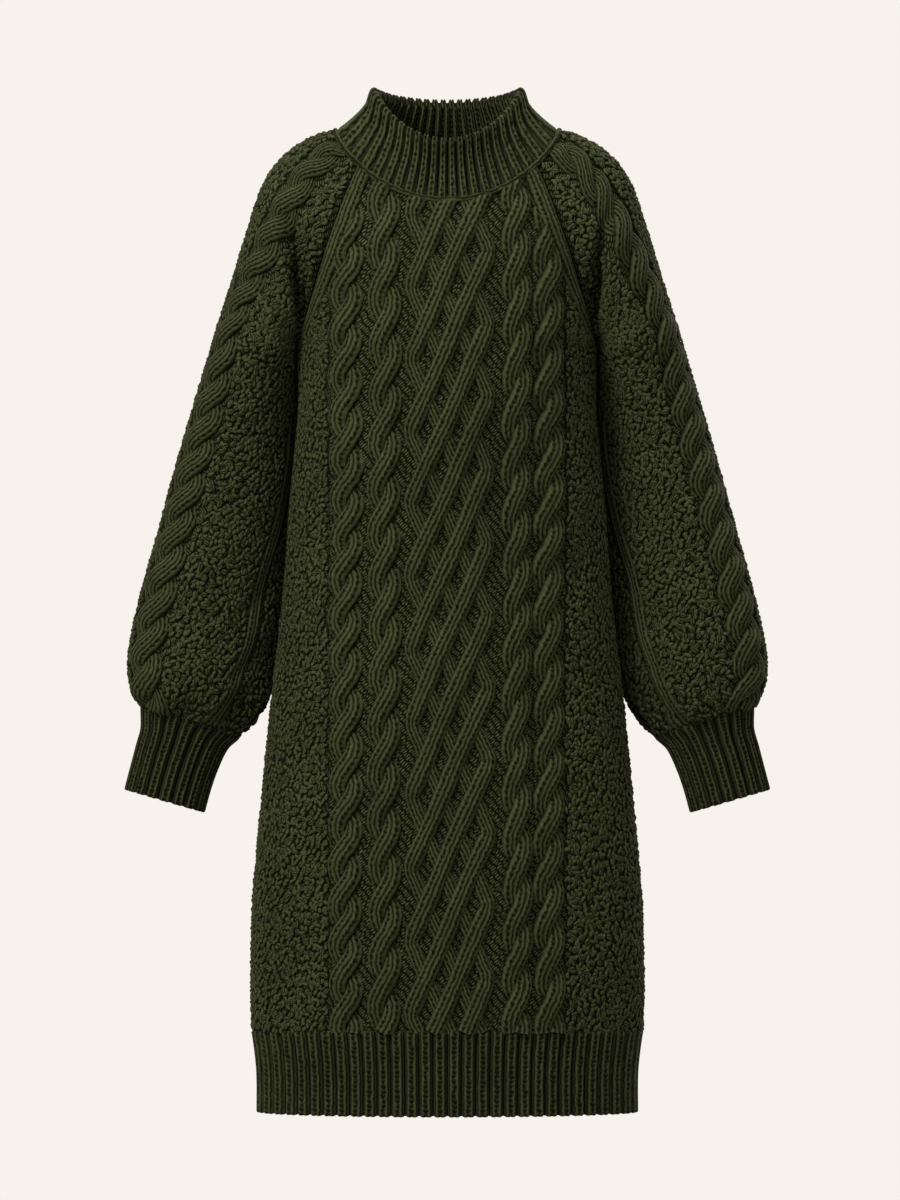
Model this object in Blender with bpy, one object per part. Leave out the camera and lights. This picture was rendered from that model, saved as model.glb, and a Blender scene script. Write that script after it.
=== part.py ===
"""Sweater dress, knee length, chunky cable knit: nine knitted pieces sewn along their edges.

The dress is filled out as if worn, with nobody in it: every piece is a thin closed wall
following a smooth form, and the neck, the cuffs and the hem stay open.
Frame: metres, +Z up, front of the dress towards -Y, +X to the right seen from the front.
The origin is the middle of the shoulder line, where the wearer carries the dress.
"""

import math

import bmesh
import bpy
import numpy as np

# ---------------------------------------------------------------- driving sizes (metres)
WALL = 0.004            # knitted panels
RIB_WALL = 0.0055       # collar, cuffs and hem ribbing are thicker
SEAM_PULL = 0.0003      # each edge stands this far back from its seam line
EDGE_ANGLE = math.radians(50.0)   # rims are sharp, the cloth is smooth

PANEL_COLUMNS = 16      # facets across the front and across the back
SLEEVE_COLUMNS = 16     # facets round a sleeve and a cuff
BODY_STEPS = 18         # facets down the body below the underarm
COLLAR_ROWS = 3
HEM_ROWS = 2

# neckline, where the collar is sewn on: a level-ish ring that dips at the front
NECK_HALF_WIDTH = 0.1115
NECK_HALF_DEPTH = 0.080
NECK_MID_Y = -0.015
NECK_SIDE_Z = -0.001
NECK_FRONT_DIP = 0.062
NECK_BACK_DIP = 0.019
NECK_DIP_POWER = 1.6
NECK_OUT_LIFT = math.radians(33.0)   # tilt of the seam's own outward direction
NECK_EASE = (1.0, 0.55, 0.22, 0.05)  # how much the first rows below it give way to it

# top edge of the funnel collar
COLLAR_HALF_WIDTH = 0.0715
COLLAR_HALF_DEPTH = 0.059
COLLAR_MID_Y = -0.014
COLLAR_SIDE_Z = 0.0445
COLLAR_FRONT_DIP = 0.0485
COLLAR_BACK_DIP = 0.0085
COLLAR_HOLLOW = 0.0025               # the collar side is this much hollow

# angles round the neckline, 0 at the centre front, where the raglan seams start
FRONT_RAGLAN_ANGLE = math.radians(53.8)
BACK_RAGLAN_ANGLE = math.radians(129.5)

UNDERARM_Z = -0.216
HEM_SEAM_Z = -0.898
HEM_SIDE_Z = -0.9785
HEM_FRONT_DROP = 0.0045
HEM_BACK_DROP = 0.001

# body below the underarm: a row per level
BODY_COLUMNS = ("z", "half_width", "front_deep", "back_deep")
BODY_ROWS = (
    (-0.216, 0.1500, 0.1215, 0.1100),
    (-0.266, 0.1485, 0.1220, 0.1075),
    (-0.316, 0.1520, 0.1190, 0.1050),
    (-0.366, 0.1570, 0.1165, 0.1045),
    (-0.426, 0.1612, 0.1155, 0.1070),
    (-0.486, 0.1662, 0.1165, 0.1110),
    (-0.568, 0.1757, 0.1195, 0.1165),
    (-0.616, 0.1806, 0.1215, 0.1190),
    (-0.716, 0.1900, 0.1250, 0.1225),
    (-0.766, 0.1943, 0.1265, 0.1240),
    (-0.816, 0.1960, 0.1275, 0.1250),
    (-0.866, 0.1965, 0.1275, 0.1250),
    (-0.898, 0.1952, 0.1265, 0.1240),
    (-0.916, 0.1928, 0.1250, 0.1225),
    (-0.936, 0.1908, 0.1238, 0.1213),
    (-0.983, 0.1905, 0.1230, 0.1205),
)

# centre lines of the yoke, collar seam down to the underarm level
CENTRE_COLUMNS = ("share", "front_y", "back_y")
CENTRE_ROWS = (
    (0.00, -0.0950, 0.0650),
    (0.20, -0.1040, 0.0790),
    (0.40, -0.1105, 0.0920),
    (0.60, -0.1155, 0.1020),
    (0.80, -0.1190, 0.1080),
    (1.00, -0.1215, 0.1100),
)

# sleeve above the underarm: open rings from the collar seam down to the underarm point.
# outer = the shoulder line, front and back = the two raglan seams, open_deg = half the
# angle the ring covers, deep = how far the ring swells to the front and to the back
SHOULDER_COLUMNS = ("outer_x", "outer_y", "outer_z", "front_x", "front_z",
                    "back_x", "back_z", "open_deg", "front_deep", "back_deep")
SHOULDER_ROWS = (
    (0.1115, -0.0150, -0.001, 0.0900, -0.028, 0.0860, -0.010, 62.0, 0.0520, 0.0540),
    (0.1310, -0.0125, -0.004, 0.0975, -0.046, 0.0950, -0.030, 68.0, 0.0555, 0.0570),
    (0.1490, -0.0100, -0.012, 0.1045, -0.064, 0.1030, -0.050, 76.0, 0.0600, 0.0600),
    (0.1640, -0.0075, -0.023, 0.1110, -0.082, 0.1100, -0.070, 85.0, 0.0640, 0.0630),
    (0.1760, -0.0050, -0.037, 0.1175, -0.100, 0.1170, -0.090, 95.0, 0.0670, 0.0655),
    (0.1850, -0.0025, -0.053, 0.1235, -0.119, 0.1230, -0.111, 106.0, 0.0690, 0.0675),
    (0.1935, 0.0000, -0.076, 0.1295, -0.140, 0.1295, -0.134, 118.0, 0.0700, 0.0690),
    (0.2020, 0.0025, -0.104, 0.1360, -0.163, 0.1360, -0.159, 131.0, 0.0700, 0.0690),
    (0.2115, 0.0050, -0.135, 0.1425, -0.187, 0.1425, -0.185, 146.0, 0.0690, 0.0680),
    (0.2205, 0.0075, -0.164, 0.1470, -0.203, 0.1470, -0.202, 162.0, 0.0675, 0.0665),
    (0.2298, 0.0095, -0.192, 0.1500, -0.216, 0.1500, -0.216, 180.0, 0.0660, 0.0655),
)

# sleeve below the underarm: closed rings, the inner side kept just clear of the body
ARM_COLUMNS = ("outer_x", "outer_y", "outer_z", "inner_x", "inner_y", "inner_z",
               "front_deep", "back_deep")
ARM_ROWS = (
    (0.2375, 0.011, -0.218, 0.1505, 0.018, -0.243, 0.0645, 0.0650),
    (0.2460, 0.012, -0.246, 0.1478, 0.033, -0.270, 0.0635, 0.0645),
    (0.2550, 0.012, -0.276, 0.1475, 0.042, -0.300, 0.0630, 0.0645),
    (0.2640, 0.012, -0.307, 0.1485, 0.046, -0.331, 0.0630, 0.0645),
    (0.2735, 0.011, -0.340, 0.1507, 0.049, -0.363, 0.0635, 0.0650),
    (0.2825, 0.010, -0.373, 0.1532, 0.051, -0.395, 0.0640, 0.0655),
    (0.2915, 0.009, -0.406, 0.1558, 0.052, -0.427, 0.0650, 0.0665),
    (0.3005, 0.008, -0.438, 0.1586, 0.052, -0.459, 0.0660, 0.0675),
    (0.3090, 0.007, -0.470, 0.1620, 0.050, -0.491, 0.0670, 0.0685),
    (0.3155, 0.006, -0.500, 0.1662, 0.047, -0.520, 0.0680, 0.0695),
    (0.3195, 0.005, -0.527, 0.1720, 0.043, -0.545, 0.0670, 0.0690),
    (0.3190, 0.005, -0.545, 0.1780, 0.038, -0.563, 0.0640, 0.0660),
    (0.3155, 0.004, -0.558, 0.1865, 0.034, -0.580, 0.0580, 0.0600),
    (0.3105, 0.004, -0.567, 0.1975, 0.030, -0.594, 0.0485, 0.0500),
    (0.3065, 0.004, -0.573, 0.2090, 0.026, -0.605, 0.0390, 0.0390),
)

# cuff: closed rings from the sleeve seam to the open end
CUFF_ROWS = (
    (0.3065, 0.004, -0.5735, 0.2095, 0.026, -0.6055, 0.0385, 0.0385),
    (0.3062, 0.006, -0.591, 0.2205, 0.023, -0.616, 0.0350, 0.0350),
    (0.3115, 0.007, -0.613, 0.2300, 0.021, -0.636, 0.0335, 0.0335),
    (0.3170, 0.008, -0.634, 0.2370, 0.019, -0.656, 0.0330, 0.0330),
    (0.3225, 0.008, -0.655, 0.2430, 0.018, -0.678, 0.0335, 0.0335),
)

YARN = (0.024, 0.028, 0.011, 1.0)


# ---------------------------------------------------------------- small tools
def unit(v):
    """Vectors scaled to length one."""
    v = np.asarray(v, dtype=float)
    return v / np.maximum(np.linalg.norm(v, axis=-1, keepdims=True), 1e-12)


def column(rows, names, name):
    """One named column of a table."""
    return np.array([row[names.index(name)] for row in rows])


def smooth(knots, values, at):
    """Cubic through the table's values, without overshoot at a level stretch."""
    knots = np.asarray(knots, dtype=float)
    values = np.asarray(values, dtype=float)
    slope = np.diff(values) / np.diff(knots)
    tangent = np.empty_like(values)
    tangent[0] = slope[0]
    tangent[-1] = slope[-1]
    tangent[1:-1] = 0.5 * (slope[1:] + slope[:-1])
    turning = slope[1:] * slope[:-1] <= 0.0
    tangent[1:-1][turning] = 0.0
    at = np.clip(at, knots[0], knots[-1])
    cell = np.clip(np.searchsorted(knots, at) - 1, 0, len(knots) - 2)
    span = knots[cell + 1] - knots[cell]
    f = (at - knots[cell]) / span
    h00 = 2 * f ** 3 - 3 * f ** 2 + 1
    h10 = f ** 3 - 2 * f ** 2 + f
    h01 = -2 * f ** 3 + 3 * f ** 2
    h11 = f ** 3 - f ** 2
    low = h00 * values[cell] + h10 * span * tangent[cell]
    high = h01 * values[cell + 1] + h11 * span * tangent[cell + 1]
    return low + high


def body_size(name, z):
    """A size of the body at a level."""
    levels = -column(BODY_ROWS, BODY_COLUMNS, "z")
    return smooth(levels, column(BODY_ROWS, BODY_COLUMNS, name), -np.asarray(z, dtype=float))


# ---------------------------------------------------------------- the form of the dress
def neckline(angle):
    """Collar seam: angle 0 at the centre front, 90 degrees at the +X side."""
    angle = np.asarray(angle, dtype=float)
    ahead = np.clip(np.cos(angle), 0.0, 1.0) ** NECK_DIP_POWER
    behind = np.clip(-np.cos(angle), 0.0, 1.0) ** NECK_DIP_POWER
    x = NECK_HALF_WIDTH * np.sin(angle)
    y = NECK_MID_Y - NECK_HALF_DEPTH * np.cos(angle)
    z = NECK_SIDE_Z - NECK_FRONT_DIP * ahead - NECK_BACK_DIP * behind
    return np.stack([x, y, z], axis=-1)


def neckline_out(angle):
    """Outward direction shared by every edge that meets at the collar seam."""
    angle = np.asarray(angle, dtype=float)
    level = math.cos(NECK_OUT_LIFT)
    x = level * np.sin(angle)
    y = -level * np.cos(angle)
    z = np.full_like(x, math.sin(NECK_OUT_LIFT))
    return np.stack([x, y, z], axis=-1)


def collar_top(angle):
    """Open top edge of the collar."""
    angle = np.asarray(angle, dtype=float)
    ahead = np.clip(np.cos(angle), 0.0, 1.0) ** NECK_DIP_POWER
    behind = np.clip(-np.cos(angle), 0.0, 1.0) ** NECK_DIP_POWER
    x = COLLAR_HALF_WIDTH * np.sin(angle)
    y = COLLAR_MID_Y - COLLAR_HALF_DEPTH * np.cos(angle)
    z = COLLAR_SIDE_Z - COLLAR_FRONT_DIP * ahead - COLLAR_BACK_DIP * behind
    return np.stack([x, y, z], axis=-1)


def ring_point(outer, front, back, inner_y, opening, front_deep, back_deep, round_share):
    """A point of a sleeve ring: round_share -1 at the front edge, 0 on top, +1 at the back."""
    angle = abs(round_share) * opening
    travel = (1.0 - math.cos(angle)) / (1.0 - math.cos(opening))
    end = front if round_share < 0.0 else back
    side = -front_deep if round_share < 0.0 else back_deep
    x = outer[0] + (end[0] - outer[0]) * travel
    z = outer[2] + (end[1] - outer[2]) * travel
    y = outer[1] + (inner_y - outer[1]) * travel + side * math.sin(angle)
    return (x, y, z)


def sleeve_rings():
    """Grid of points of the +X sleeve, rows from the collar seam to the cuff seam."""
    shares = np.linspace(-1.0, 1.0, SLEEVE_COLUMNS + 1)
    rows = []
    for row in SHOULDER_ROWS:
        outer = row[0:3]
        opening = math.radians(row[7])
        rows.append([ring_point(outer, row[3:5], row[5:7], min(row[1], 0.0), opening,
                                row[8], row[9], share) for share in shares])
    for row in ARM_ROWS:
        inner = (row[3], row[5])
        rows.append([ring_point(row[0:3], inner, inner, row[4], math.pi,
                                row[6], row[7], share) for share in shares])
    grid = np.array(rows)
    return eased(grid, neckline(sleeve_neck_angles(shares)))


def sleeve_neck_angles(shares):
    """Angles round the neckline that the top of the +X sleeve covers."""
    front = FRONT_RAGLAN_ANGLE + (math.pi / 2 - FRONT_RAGLAN_ANGLE) * (1.0 + shares)
    back = math.pi / 2 + (BACK_RAGLAN_ANGLE - math.pi / 2) * shares
    return np.where(shares < 0.0, front, back)


def eased(grid, seam):
    """The first rows of a grid eased onto the collar seam."""
    slip = seam - grid[0]
    for i, share in enumerate(NECK_EASE):
        grid[i] += slip * share
    return grid


def panel_grid(raglan, is_front):
    """Points of the front or back panel, rows from the collar seam to the hem seam."""
    u = np.linspace(-1.0, 1.0, PANEL_COLUMNS + 1)
    yoke_rows = len(SHOULDER_ROWS)
    corner = FRONT_RAGLAN_ANGLE if is_front else math.pi - BACK_RAGLAN_ANGLE
    seam = neckline(u * corner if is_front else math.pi - u * corner)
    top_z = seam[PANEL_COLUMNS // 2][2]
    name = "front_y" if is_front else "back_y"
    rows = []
    for i in range(yoke_rows):
        edge = raglan[i]
        drop = (edge[2] - raglan[0][2]) / (raglan[-1][2] - raglan[0][2])
        centre_z = top_z + (UNDERARM_Z - top_z) * drop
        centre_y = smooth(column(CENTRE_ROWS, CENTRE_COLUMNS, "share"),
                          column(CENTRE_ROWS, CENTRE_COLUMNS, name), drop)
        turn = corner + (math.pi / 2 - corner) * drop
        along = (np.cos(u * turn) - math.cos(turn)) / (1.0 - math.cos(turn))
        x = edge[0] * np.sin(u * turn) / math.sin(turn)
        y = edge[1] + (centre_y - edge[1]) * along
        z = edge[2] + (centre_z - edge[2]) * along
        rows.append(np.stack([x, y, z], axis=-1))
    rows = list(eased(np.array(rows), seam))
    for z in np.linspace(UNDERARM_Z, HEM_SEAM_Z, BODY_STEPS + 1)[1:]:
        rows.append(body_ring(u, np.full_like(u, z), is_front))
    return np.array(rows)


def body_ring(u, z, is_front):
    """Half a body ring, u -1 and +1 at the two side seams."""
    turn = u * math.pi / 2
    deep = body_size("front_deep" if is_front else "back_deep", z)
    y = deep * np.cos(turn) * (-1.0 if is_front else 1.0)
    return np.stack([body_size("half_width", z) * np.sin(turn), y, z], axis=-1)


def hem_grid(is_front):
    """Points of a hem rib, rows from the hem seam to the open hem."""
    u = np.linspace(-1.0, 1.0, PANEL_COLUMNS + 1)
    drop = HEM_FRONT_DROP if is_front else HEM_BACK_DROP
    foot = HEM_SIDE_Z - drop * np.cos(u * math.pi / 2)
    rows = []
    for share in np.linspace(0.0, 1.0, HEM_ROWS + 1):
        rows.append(body_ring(u, HEM_SEAM_Z + (foot - HEM_SEAM_Z) * share, is_front))
    return np.array(rows)


def collar_grid(angles):
    """Points of the collar, rows from the neckline up to the open top edge."""
    low = neckline(angles)
    high = collar_top(angles)
    out = neckline_out(angles)
    rows = []
    for share in np.linspace(0.0, 1.0, COLLAR_ROWS + 1):
        hollow = COLLAR_HOLLOW * math.sin(math.pi * share)
        rows.append(low + (high - low) * share - out * hollow)
    return np.array(rows)


# ---------------------------------------------------------------- grids into closed walls
def grid_normals(grid, ring):
    """Outward direction at every point of a grid; ring says the columns close up."""
    if ring:
        wide = np.concatenate([grid[:, -2:-1], grid, grid[:, 1:2]], axis=1)
        across = wide[:, 2:] - wide[:, :-2]
    else:
        across = np.gradient(grid, axis=1)
    down = np.gradient(grid, axis=0)
    return unit(np.cross(down, across))


def ring_plane_normals(ring, normals):
    """Directions kept in the plane of an end ring, so both sides of its seam agree."""
    middle = ring[:-1].mean(axis=0)
    spread = ring[:-1] - middle
    axis = np.linalg.svd(spread)[2][2]
    flat = normals - np.outer(normals @ axis, axis)
    return unit(flat)


def set_back(grid, edges, left_in=None, right_in=None):
    """How far each edge point moves off its seam line.

    left_in and right_in are the directions away from a raglan seam, for its rows only.
    """
    move = np.zeros_like(grid)
    if "top" in edges:
        move[0] += unit(grid[1] - grid[0])
    if "bottom" in edges:
        move[-1] += unit(grid[-2] - grid[-1])
    for edge, beside, given in ((0, 1, left_in), (-1, -2, right_in)):
        if given is not None:
            move[:len(given), edge] += given
        if ("left", "right")[edge] in edges:
            start = 0 if given is None else len(given) - 1
            inward = unit(grid[start:, beside] - grid[start:, edge])
            move[start:, edge] += inward
    return move * SEAM_PULL


def close_wall(name, grid, normals, wall, ring_from, move):
    """A closed solid wall from a grid of outer points.

    ring_from is the first row whose two ends are the same point (None: never).
    move is what set_back gives, the same for the outer and the inner layer.
    """
    outer = grid + move
    inner = outer - normals * wall
    rows, cols = grid.shape[0], grid.shape[1]
    mesh = bmesh.new()

    def place(layer):
        verts = []
        for i in range(rows):
            line = [mesh.verts.new(layer[i, j]) for j in range(cols)]
            if ring_from is not None and i >= ring_from:
                mesh.verts.remove(line[-1])
                line[-1] = line[0]
            verts.append(line)
        return verts

    out = place(outer)
    inn = place(inner)
    for i in range(rows - 1):
        for j in range(cols - 1):
            mesh.faces.new((out[i][j], out[i + 1][j], out[i + 1][j + 1], out[i][j + 1]))
            mesh.faces.new((inn[i][j], inn[i][j + 1], inn[i + 1][j + 1], inn[i + 1][j]))
    for j in range(cols - 1):
        mesh.faces.new((out[0][j], out[0][j + 1], inn[0][j + 1], inn[0][j]))
        mesh.faces.new((out[-1][j + 1], out[-1][j], inn[-1][j], inn[-1][j + 1]))
    sides = rows - 1 if ring_from is None else ring_from
    for i in range(sides):
        # cut the same way on both sides of a seam, so the two walls never cross
        mesh.faces.new((out[i + 1][0], out[i][0], inn[i + 1][0]))
        mesh.faces.new((out[i][0], inn[i][0], inn[i + 1][0]))
        mesh.faces.new((out[i][-1], out[i + 1][-1], inn[i + 1][-1]))
        mesh.faces.new((out[i][-1], inn[i + 1][-1], inn[i][-1]))
    data = bpy.data.meshes.new(name)
    mesh.to_mesh(data)
    mesh.free()
    data.shade_smooth()
    data.set_sharp_from_angle(angle=EDGE_ANGLE)
    piece = bpy.data.objects.new(name, data)
    bpy.context.collection.objects.link(piece)
    paint(piece)
    return piece


def paint(piece):
    """Dark olive wool, one material per piece."""
    wool = bpy.data.materials.new(piece.name + "_wool")
    wool.use_nodes = True
    shader = wool.node_tree.nodes["Principled BSDF"]
    shader.inputs["Base Color"].default_value = YARN
    shader.inputs["Roughness"].default_value = 0.92
    shader.inputs["Specular IOR Level"].default_value = 0.2
    piece.data.materials.append(wool)


def mirrored(grid):
    """The same grid on the -X side, columns turned round to keep it facing out."""
    return (grid * np.array([-1.0, 1.0, 1.0]))[:, ::-1]


# ---------------------------------------------------------------- the nine pieces
def build():
    """Lay out every grid, agree the seam directions, then close the walls."""
    for thing in list(bpy.data.objects):
        bpy.data.objects.remove(thing, do_unlink=True)

    sleeve = sleeve_rings()
    yoke = len(SHOULDER_ROWS)
    front_line = sleeve[:yoke, 0]
    back_line = sleeve[:yoke, -1]
    front = panel_grid(front_line, True)
    back = panel_grid(back_line, False)[:, ::-1]

    sleeve_out = grid_normals(sleeve, False)
    closed = grid_normals(sleeve[yoke - 1:], True)
    sleeve_out[yoke - 1:, 0] = closed[:, 0]
    sleeve_out[yoke - 1:, -1] = closed[:, 0]
    front_out = grid_normals(front, False)
    back_out = grid_normals(back, False)

    # both sides of a raglan seam share one direction
    front_seam = unit(front_out[:yoke, -1] + sleeve_out[:yoke, 0])
    back_seam = unit(back_out[:yoke, 0] + sleeve_out[:yoke, -1])
    # at the underarm point body and sleeve part like two legs, so outward is downward
    front_seam[-1] = (0.0, 0.0, -1.0)
    back_seam[-1] = (0.0, 0.0, -1.0)
    flip = np.array([-1.0, 1.0, 1.0])
    front_out[:yoke, -1] = front_seam
    front_out[:yoke, 0] = front_seam * flip
    back_out[:yoke, 0] = back_seam
    back_out[:yoke, -1] = back_seam * flip
    sleeve_out[:yoke, 0] = front_seam
    sleeve_out[:yoke, -1] = back_seam

    # side seams face straight out sideways
    front_out[yoke:, -1] = (1.0, 0.0, 0.0)
    front_out[yoke:, 0] = (-1.0, 0.0, 0.0)
    back_out[yoke:, 0] = (1.0, 0.0, 0.0)
    back_out[yoke:, -1] = (-1.0, 0.0, 0.0)

    # collar seam
    shares = np.linspace(-1.0, 1.0, SLEEVE_COLUMNS + 1)
    over = sleeve_neck_angles(shares)
    u = np.linspace(-1.0, 1.0, PANEL_COLUMNS + 1)
    front_angles = u * FRONT_RAGLAN_ANGLE
    back_angles = math.pi + u * (math.pi - BACK_RAGLAN_ANGLE)
    sleeve_out[0] = neckline_out(over)
    front_out[0] = neckline_out(front_angles)
    back_out[0] = neckline_out(back_angles)

    # cuff seam
    sleeve_out[-1] = ring_plane_normals(sleeve[-1], sleeve_out[-1])

    # both sides of a raglan seam step away from it along one line
    front_side = unit(np.cross(np.gradient(front_line, axis=0), front_seam))
    back_side = unit(np.cross(np.gradient(back_line, axis=0), back_seam))
    every = ("top", "bottom", "left", "right")
    close_wall("front_panel", front, front_out, WALL, None,
               set_back(front, every, front_side * flip, front_side))
    close_wall("back_panel", back, back_out, WALL, None,
               set_back(back, every, -back_side, -back_side * flip))
    sleeve_move = set_back(sleeve, ("top", "bottom"), -front_side, back_side)
    close_wall("sleeve_right", sleeve, sleeve_out, WALL, yoke - 1, sleeve_move)
    close_wall("sleeve_left", mirrored(sleeve), mirrored(sleeve_out), WALL, yoke - 1,
               mirrored(sleeve_move))

    cuff = []
    for row in CUFF_ROWS:
        inner = (row[3], row[5])
        cuff.append([ring_point(row[0:3], inner, inner, row[4], math.pi,
                                row[6], row[7], share) for share in shares])
    cuff = np.array(cuff)
    cuff_out = grid_normals(cuff, True)
    cuff_out[0] = ring_plane_normals(cuff[0], cuff_out[0])
    cuff_out[-1] = ring_plane_normals(cuff[-1], cuff_out[-1])
    cuff_move = set_back(cuff, ("top",))
    close_wall("cuff_right", cuff, cuff_out, RIB_WALL, 0, cuff_move)
    close_wall("cuff_left", mirrored(cuff), mirrored(cuff_out), RIB_WALL, 0, mirrored(cuff_move))

    angles = np.concatenate([front_angles[:-1], over[:-1], back_angles[:-1],
                             2.0 * math.pi - over[::-1][:-1], front_angles[:1] + 2.0 * math.pi])
    collar = collar_grid(angles)[::-1]
    collar_out = grid_normals(collar, True)
    collar_out[-1] = neckline_out(angles)
    close_wall("collar_rib", collar, collar_out, RIB_WALL, 0, set_back(collar, ("bottom",)))

    for name, is_front in (("hem_rib_front", True), ("hem_rib_back", False)):
        hem = hem_grid(is_front)
        if not is_front:
            hem = hem[:, ::-1]
        hem_out = grid_normals(hem, False)
        level = np.array([1.0, 1.0, 0.0])
        hem_out[0] = unit(hem_out[0] * level)
        hem_out[-1] = unit(hem_out[-1] * level)
        side = 1.0 if is_front else -1.0
        hem_out[:, -1] = (side, 0.0, 0.0)
        hem_out[:, 0] = (-side, 0.0, 0.0)
        close_wall(name, hem, hem_out, RIB_WALL, None, set_back(hem, ("top", "left", "right")))


build()
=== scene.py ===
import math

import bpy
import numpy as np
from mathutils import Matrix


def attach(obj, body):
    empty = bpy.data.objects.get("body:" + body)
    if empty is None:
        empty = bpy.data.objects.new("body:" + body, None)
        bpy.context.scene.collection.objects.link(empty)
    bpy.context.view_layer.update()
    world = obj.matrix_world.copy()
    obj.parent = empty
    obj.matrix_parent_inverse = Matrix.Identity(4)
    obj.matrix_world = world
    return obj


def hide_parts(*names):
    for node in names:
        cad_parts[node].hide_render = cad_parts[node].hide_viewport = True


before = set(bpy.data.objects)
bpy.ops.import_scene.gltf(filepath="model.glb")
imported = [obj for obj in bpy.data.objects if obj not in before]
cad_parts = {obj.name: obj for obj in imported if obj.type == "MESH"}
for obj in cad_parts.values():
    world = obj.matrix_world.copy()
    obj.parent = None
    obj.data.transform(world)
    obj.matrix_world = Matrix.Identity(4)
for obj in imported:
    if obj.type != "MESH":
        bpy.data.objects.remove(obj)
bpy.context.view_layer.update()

# Dark olive cable-knit sweater dress: the looks of its nine knitted pieces.
# Every piece is a thin knitted shell on the form of its solid. Cables, lattice, raglan bands
# and moss stitches are raised knitting on it; ribbing is knitted into its own shells.
# Metres, +Z up, front of the dress towards -Y, +X to the right seen from the front.

# ---------------------------------------------------------------- the form of the dress
# half width, half depth, middle y, z at the sides, dip in front and behind, power of the dips
NECKLINE = (0.1115, 0.080, -0.015, 0.0035, 0.0705, 0.0235, 1.45)
COLLAR_RIM = (0.0695, 0.059, -0.014, 0.0445, 0.0485, 0.0085, 1.6)
COLLAR_HOLLOW = 0.0030   # the collar is a little hollow between its base and its rim
NECK_OUT_LIFT = math.radians(33.0)
NECK_EASE = (1.0, 0.55, 0.22, 0.05, 0.0)   # how closely the first rows follow the neckline
FRONT_RAGLAN_ANGLE = math.radians(53.8)
BACK_RAGLAN_ANGLE = math.radians(129.5)
UNDERARM_Z = -0.216
HEM_SEAM_Z = -0.898
HEM_SIDE_Z = -0.9785

# level, half width, front depth, back depth
BODY_ROWS = np.array((
    (-0.216, 0.1500, 0.1215, 0.1100), (-0.266, 0.1485, 0.1220, 0.1075),
    (-0.316, 0.1520, 0.1190, 0.1050), (-0.366, 0.1570, 0.1165, 0.1045),
    (-0.426, 0.1612, 0.1155, 0.1070), (-0.486, 0.1662, 0.1165, 0.1110),
    (-0.568, 0.1757, 0.1195, 0.1165), (-0.616, 0.1806, 0.1215, 0.1190),
    (-0.716, 0.1900, 0.1250, 0.1225), (-0.766, 0.1943, 0.1265, 0.1240),
    (-0.816, 0.1960, 0.1275, 0.1250), (-0.866, 0.1965, 0.1275, 0.1250),
    (-0.898, 0.1952, 0.1265, 0.1240), (-0.916, 0.1928, 0.1250, 0.1225),
    (-0.936, 0.1908, 0.1238, 0.1213), (-0.983, 0.1905, 0.1230, 0.1205),
))
# share of the way down the yoke, front y, back y
CENTRE_ROWS = np.array((
    (0.00, -0.0950, 0.0650), (0.20, -0.1040, 0.0790), (0.40, -0.1105, 0.0920),
    (0.60, -0.1155, 0.1020), (0.80, -0.1190, 0.1080), (1.00, -0.1215, 0.1100),
))
# outer x y z, front x z, back x z, opening in degrees, front depth, back depth
SHOULDER_ROWS = (
    (0.1115, -0.0150, -0.001, 0.0900, -0.028, 0.0860, -0.010, 62.0, 0.0520, 0.0540),
    (0.1310, -0.0125, -0.004, 0.0975, -0.046, 0.0950, -0.030, 68.0, 0.0555, 0.0570),
    (0.1490, -0.0100, -0.012, 0.1045, -0.064, 0.1030, -0.050, 76.0, 0.0600, 0.0600),
    (0.1640, -0.0075, -0.023, 0.1110, -0.082, 0.1100, -0.070, 85.0, 0.0640, 0.0630),
    (0.1760, -0.0050, -0.037, 0.1175, -0.100, 0.1170, -0.090, 95.0, 0.0670, 0.0655),
    (0.1850, -0.0025, -0.053, 0.1235, -0.119, 0.1230, -0.111, 106.0, 0.0690, 0.0675),
    (0.1935, 0.0000, -0.076, 0.1295, -0.140, 0.1295, -0.134, 118.0, 0.0700, 0.0690),
    (0.2020, 0.0025, -0.104, 0.1360, -0.163, 0.1360, -0.159, 131.0, 0.0700, 0.0690),
    (0.2115, 0.0050, -0.135, 0.1425, -0.187, 0.1425, -0.185, 146.0, 0.0690, 0.0680),
    (0.2205, 0.0075, -0.164, 0.1470, -0.203, 0.1470, -0.202, 162.0, 0.0675, 0.0665),
    (0.2298, 0.0095, -0.192, 0.1500, -0.216, 0.1500, -0.216, 180.0, 0.0660, 0.0655),
)
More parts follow.
